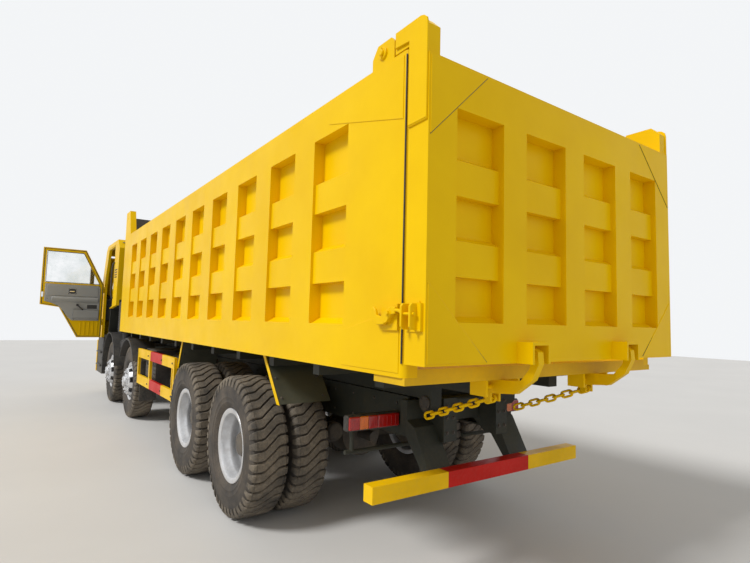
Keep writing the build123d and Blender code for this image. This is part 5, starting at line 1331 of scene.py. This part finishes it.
engineLook = {
    "case": ((-0.2, 0.8), (0.2, 0.8), (0.27, 0.86), (0.285, 1.0), (0.24, 1.2), (0.2, 1.235), (-0.2, 1.235),
             (-0.24, 1.2), (-0.285, 1.0), (-0.27, 0.86)),
    "sump": ((-0.19, 0.81), (-0.17, 0.68), (-0.13, 0.645), (0.13, 0.645), (0.17, 0.68), (0.19, 0.81)),
    "run": (-7.52, -6.64),
    "bores": [-7.435 + 0.142 * k for k in range(6)],
    "head": (-0.165, -0.06, 1.225, 0.165, 0.06, 1.332),
    "portX": (-0.13, 0.13),
    "port": ((0, 0.02), (0.075, 0.02), (0.09, 0.012)),
    "flywheel": ((0, 0.25), (0.02, 0.27), (0.09, 0.27), (0.11, 0.255), (0.125, 0.2), (0.128, 0.08)),
    "pulley": ((0, 0.05), (0.02, 0.12), (0.026, 0.12), (0.032, 0.108), (0.04, 0.108), (0.046, 0.12), (0.052, 0.12),
               (0.058, 0.05), (0.06, 0.02)),
    "belt": ((-0.118, 0.88), (0.0, 0.762), (0.118, 0.88), (0.228, 1.12), (0.17, 1.18), (0.1, 1.13)),
    "blades": 9,
    "blade": ((0.05, -0.03, -0.012), (0.285, -0.055, -0.022), (0.285, 0.055, 0.022), (0.05, 0.03, 0.012)),
    "bladeThick": 0.004,
    "fanHub": ((-0.025, 0.04), (-0.02, 0.06), (0.03, 0.06), (0.085, 0.045)),
    "pipes": ((0.028, (0.245, 0.12, 1.17), (0.29, 0.3, 1.18), (0.29, 0.63, 1.18), (0.235, 0.78, 1.1)),
              (0.022, (-0.245, 0.1, 1.16), (-0.285, 0.24, 1.14), (-0.285, 0.68, 1.14), (-0.235, 0.76, 1.06))),
    "filters": (0.25, 0.37),
    "filter": ((-0.01, 0.03), (0.0, 0.044), (0.16, 0.044), (0.175, 0.03)),
}


def addEngine(look):
    case = Bag("engine_case", "chassis", "castIron", node="engine_block")
    small = Bag("engine_fittings", "chassis", "hubGrey")
    front, rear = look["run"]
    case.prism(look["case"], 1, front, rear, 0.012)
    case.prism(look["sump"], 1, front + 0.06, rear - 0.1, 0.02)
    case.row(0.018, 1, look["bores"], *look["head"])
    for x in look["portX"]:
        case.row(0.005, 1, look["bores"], x * 1.6, -0.01, 0.87, x * 2.26, 0.01, 1.17)
        for y in look["bores"]:
            small.turned((x, y, 1.27), (x, 0, 0), look["port"], 12)
            small.bolt((x * 2.14, y, 0.95), (x, 0, 0), 0.01, 0.01)
    case.turned((0, rear - 0.01, 0.96), (0, 1, 0), look["flywheel"], 36)
    small.turned((0, front + 0.005, 0.88), (0, -1, 0), look["pulley"], 32)
    small.turned((0.17, front + 0.005, 1.12), (0, -1, 0), [(far, r * 0.5) for far, r in look["pulley"]])
    small.tube(smoothed([(x, front - 0.035, z) for x, z in look["belt"]], 3, True), 0.006, 8, True)
    centre = Vector((0, front - 0.095, 0.955))
    small.turned(centre, (0, 1, 0), look["fanHub"])
    for u, v in circle(look["blades"]):
        out, aside = Vector((u, 0, v)), Vector((-v, 0, u))
        ring = [centre + out * r + aside * wide + Vector((0, depth + twist, 0))
                for depth in (-look["bladeThick"], 0) for r, wide, twist in look["blade"]]
        small.add(ring, [(0, 1, 2, 3), (4, 5, 6, 7)] + [(i, (i + 1) % 4, (i + 1) % 4 + 4, i + 4) for i in range(4)])
    for radius, *path in look["pipes"]:
        small.tube(smoothed([(x, front + y, z) for x, y, z in path], 3), radius, 14)
    for y in look["filters"]:
        small.turned((-0.25, front + y, 0.99), (0, 0, -1), look["filter"], 20)


# tanks, battery box, frame bolts and guard bolts

tankLook = {
    "outline": chamfered((0.48, 0.58), (1.08, 1.13), 0.07),
    "strapThick": 0.004,
    "fuelStraps": ((-3.772, -3.728), (-3.322, -3.278), (-2.872, -2.828)),
    "boxStraps": ((-3.8, -3.77), (-3.52, -3.49)),
    "cap": ((-0.002, 0.052), (0.012, 0.052), (0.016, 0.062), (0.034, 0.062), (0.04, 0.054), (0.041, 0.02)),
    "drain": ((0, 0.02), (0.05, 0.02), (0.056, 0.012)),
    "ridges": (0.004, 2, [0.68 + 0.055 * k for k in range(7)], 1.078, -3.93, 0, 1.087, -3.36, 0.022),
    "handles": (-3.785, -3.505),
    "handle": ((1.082, 1.02), (1.104, 1.0), (1.104, 0.94), (1.086, 0.9)),
    "air": ((0.8, 0.72), (0.8, 0.985)),
    "airRadius": 0.1255,
    "airStraps": ((-3.118, -3.082), (-2.798, -2.762)),
    "airEnds": ((-3.262, -1), (-2.618, 1)),
    "boss": ((-0.004, 0.02), (0.012, 0.02), (0.016, 0.012)),
    "valve": ((-0.002, 0.012), (0.01, 0.012), (0.014, 0.006)),
    "railBolts": 31,
    "railZ": (0.86, 1.02),
    "rivet": ((-0.001, 0.01), (0.004, 0.01), (0.008, 0.006)),
    "guardPosts": (-4.17, -3.42, -2.66, -2.13),
    "guardZ": (0.671, 1.054),
}


def addTankParts(look):
    metal, dark = Bag("tank_straps", "chassis", "tankMetal"), Bag("tank_fittings", "chassis", "darkPlastic")
    bolts = Bag("frame_and_guard_bolts", "chassis", "castIron")
    for side in eachSide():
        for start, end in look["fuelStraps" if side == "right" else "boxStraps"]:
            metal.strap(look["outline"], start, end, look["strapThick"])
        for k in range(look["railBolts"]):
            for z in look["railZ"]:
                bolts.turned((0.43, -7.35 + 0.285 * k, z), (1, 0, 0), look["rivet"], 8)
        for y in look["guardPosts"]:
            for z in look["guardZ"]:
                bolts.bolt((1.1675, y, z), (1, 0, 0), 0.009, 0.008)
        if side == "right":
            for start, end in look["fuelStraps"]:
                bolts.bolt((1.084, (start + end) / 2, 0.86), (1, 0, 0), 0.01, 0.01)
            dark.turned((0.92, -3.55, 1.13), (0, 0, 1), look["cap"], 28)
            metal.turned((1.035, -3.05, 0.64), (1, 0, 0), look["drain"], 16)
            continue
        dark.row(*look["ridges"])
        for y in look["handles"]:
            metal.tube(smoothed([(x, y, z) for x, z in look["handle"]]), 0.006, 8)
        for x, z in look["air"]:
            around = [(x + u, z + v) for u, v in circle(32, look["airRadius"])]
            for start, end in look["airStraps"]:
                metal.strap(around, start, end, 0.003)
            for y, way in look["airEnds"]:
                bolts.turned((x, y, z), (0, way, 0), look["boss"], 12)
            bolts.turned((x, -2.95, z - 0.124), (0, 0, -1), look["valve"], 12)


hoistLook = {
    "y": -5.87,
    "collars": (0.985, 1.8, 2.88),
    "collar": ((0, 0.104), (0.004, 0.113), (0.04, 0.113), (0.046, 0.104)),
    "ports": ((0.1, 1.02), (-0.1, 1.08)),
    "port": ((-0.004, 0.024), (0.02, 0.024), (0.024, 0.018), (0.04, 0.016)),
}


def addHoistParts(look):
    bag = Bag("hoist_collars", "hoist_tube", "framePaint")
    for z in look["collars"]:
        bag.turned((0, look["y"], z), (0, 0, 1), look["collar"], 40)
    for x, z in look["ports"]:
        bag.turned((x, look["y"], z), (x, 0, 0), look["port"], 16)


def addBedSeams(look):
    # painted shade: a dark tube at each rear corner stands in for the shade in the gap between side and tailgate
    floor, corner = Bag("bed_seams", "bed", "bedGrey"), Bag("corner_gap_shade", "bed", "darkPlastic")
    # painted shadow: thin dark tubes along the gate's gusset plate edges stand in for the shadow lines there
    gap, shift = Bag("gusset_shadow_lines", "tailgate", "darkPlastic"), look["shadowLineShift"]
    (count, first, step), half, z = look["floorSeams"], look["floorX"], look["floorZ"]
    for k in range(count):
        y = first + step * k
        floor.tube([(x, y, z - look["seam"]) for x in (0.003 - half, half - 0.003)], look["seam"], 6)
    for _ in eachSide():
        floor.tube([(half, y, z) for y in (2.14, -5.55)], 0.008, 6)
        # painted shade in the corner gap, dark plastic coat
        corner.tube([(1.1895, 2.1865, z) for z in (1.4, 2.96)], 0.0045, 6)
        # painted shadow lines along the gusset edges, dark plastic coat
        for (x0, z0), (x1, z1) in [outline[:2] for outline in look["gate"]]:
            y = look["gateFace"] + look["sink"] / 2
            gap.tube([(x0 - shift, y, z0), (x1, y, z1 - shift)], 0.0022, 6)


addEngine(engineLook)
addTankParts(tankLook)
addHoistParts(hoistLook)
addBedSeams(bedLook)
for bag in Bag.every:
    bag.make()
print("engine, tanks, hoist and seams made, pieces:", len(Bag.every))

# floor, sky and lights

stageLook = {
    "sunStrength": 2.5,
    "sunAngle": 16,                   # degrees, soft shadow edges
    "sunFrom": (0.8, -0.1, 0.85),     # from the truck's left and high
    "fillStrength": 0.3,
    "fillAngle": 60,
    "fillFrom": (0.25, 0.9, 0.5),     # from behind, for the tailgate
    "skyStrength": 0.5,
    "skySeen": (0.9, 0.915, 0.93, 1),
    "floorColour": (0.56, 0.55, 0.53, 1),
    "floorPale": (0.5936, 0.583, 0.5618, 1),
    "floorHalf": 30,
}


def addSun(name, strength, angle, comesFrom):
    data = bpy.data.lights.new(name, "SUN")
    data.energy, data.angle = strength, radians(angle)
    lamp = newObject(name, data)
    lamp.rotation_mode = "QUATERNION"
    lamp.rotation_quaternion = Vector(comesFrom).to_track_quat("Z", "Y")


def setFloor(look):
    half = look["floorHalf"]
    mesh = bpy.data.meshes.new("floor")
    mesh.from_pydata([(-half, -half, 0), (half, -half, 0), (half, half, 0), (-half, half, 0)], [], [(0, 1, 2, 3)])
    mesh.update()
    tree, place = newMaterial("floorConcrete")
    cloud = spread(tree, noise(tree, place, 0.5, 6, 0.6), 0.3, 0.7)
    finishShader(tree, mixed(tree, cloud, look["floorColour"], look["floorPale"]),
                 spread(tree, cloud, 0, 1, 0.8, 0.9), noise(tree, place, 60), 0.05, 0.002)
    mesh.materials.append(materials["floorConcrete"])
    newObject("floor", mesh)


def setSky(look):
    world = bpy.context.scene.world or bpy.data.worlds.new("world")
    bpy.context.scene.world = world
    world.use_nodes = True
    tree = world.node_tree
    tree.nodes.clear()
    rays = addNode(tree, "LightPath").outputs
    mirrored = maths(tree, "MAXIMUM", rays["Is Glossy Ray"], rays["Is Transmission Ray"])
    seen = maths(tree, "MAXIMUM", rays["Is Camera Ray"], mirrored)
    lit = addNode(tree, "Background", None, {"Color": (1, 1, 1, 1), "Strength": look["skyStrength"]})
    shown = addNode(tree, "Background", None, {"Color": look["skySeen"]})
    blend = addNode(tree, "MixShader", None, {0: seen, 1: lit.outputs[0], 2: shown.outputs[0]})
    addNode(tree, "OutputWorld", None, {"Surface": blend.outputs[0]})


setFloor(stageLook)
setSky(stageLook)
for name in ("sun", "fill"):
    addSun(name + "Light", *[stageLook[name + part] for part in ("Strength", "Angle", "From")])
setCamera(cameraLook)
bpy.context.scene.view_settings.view_transform = "Standard"
print("stage, lights and camera set")
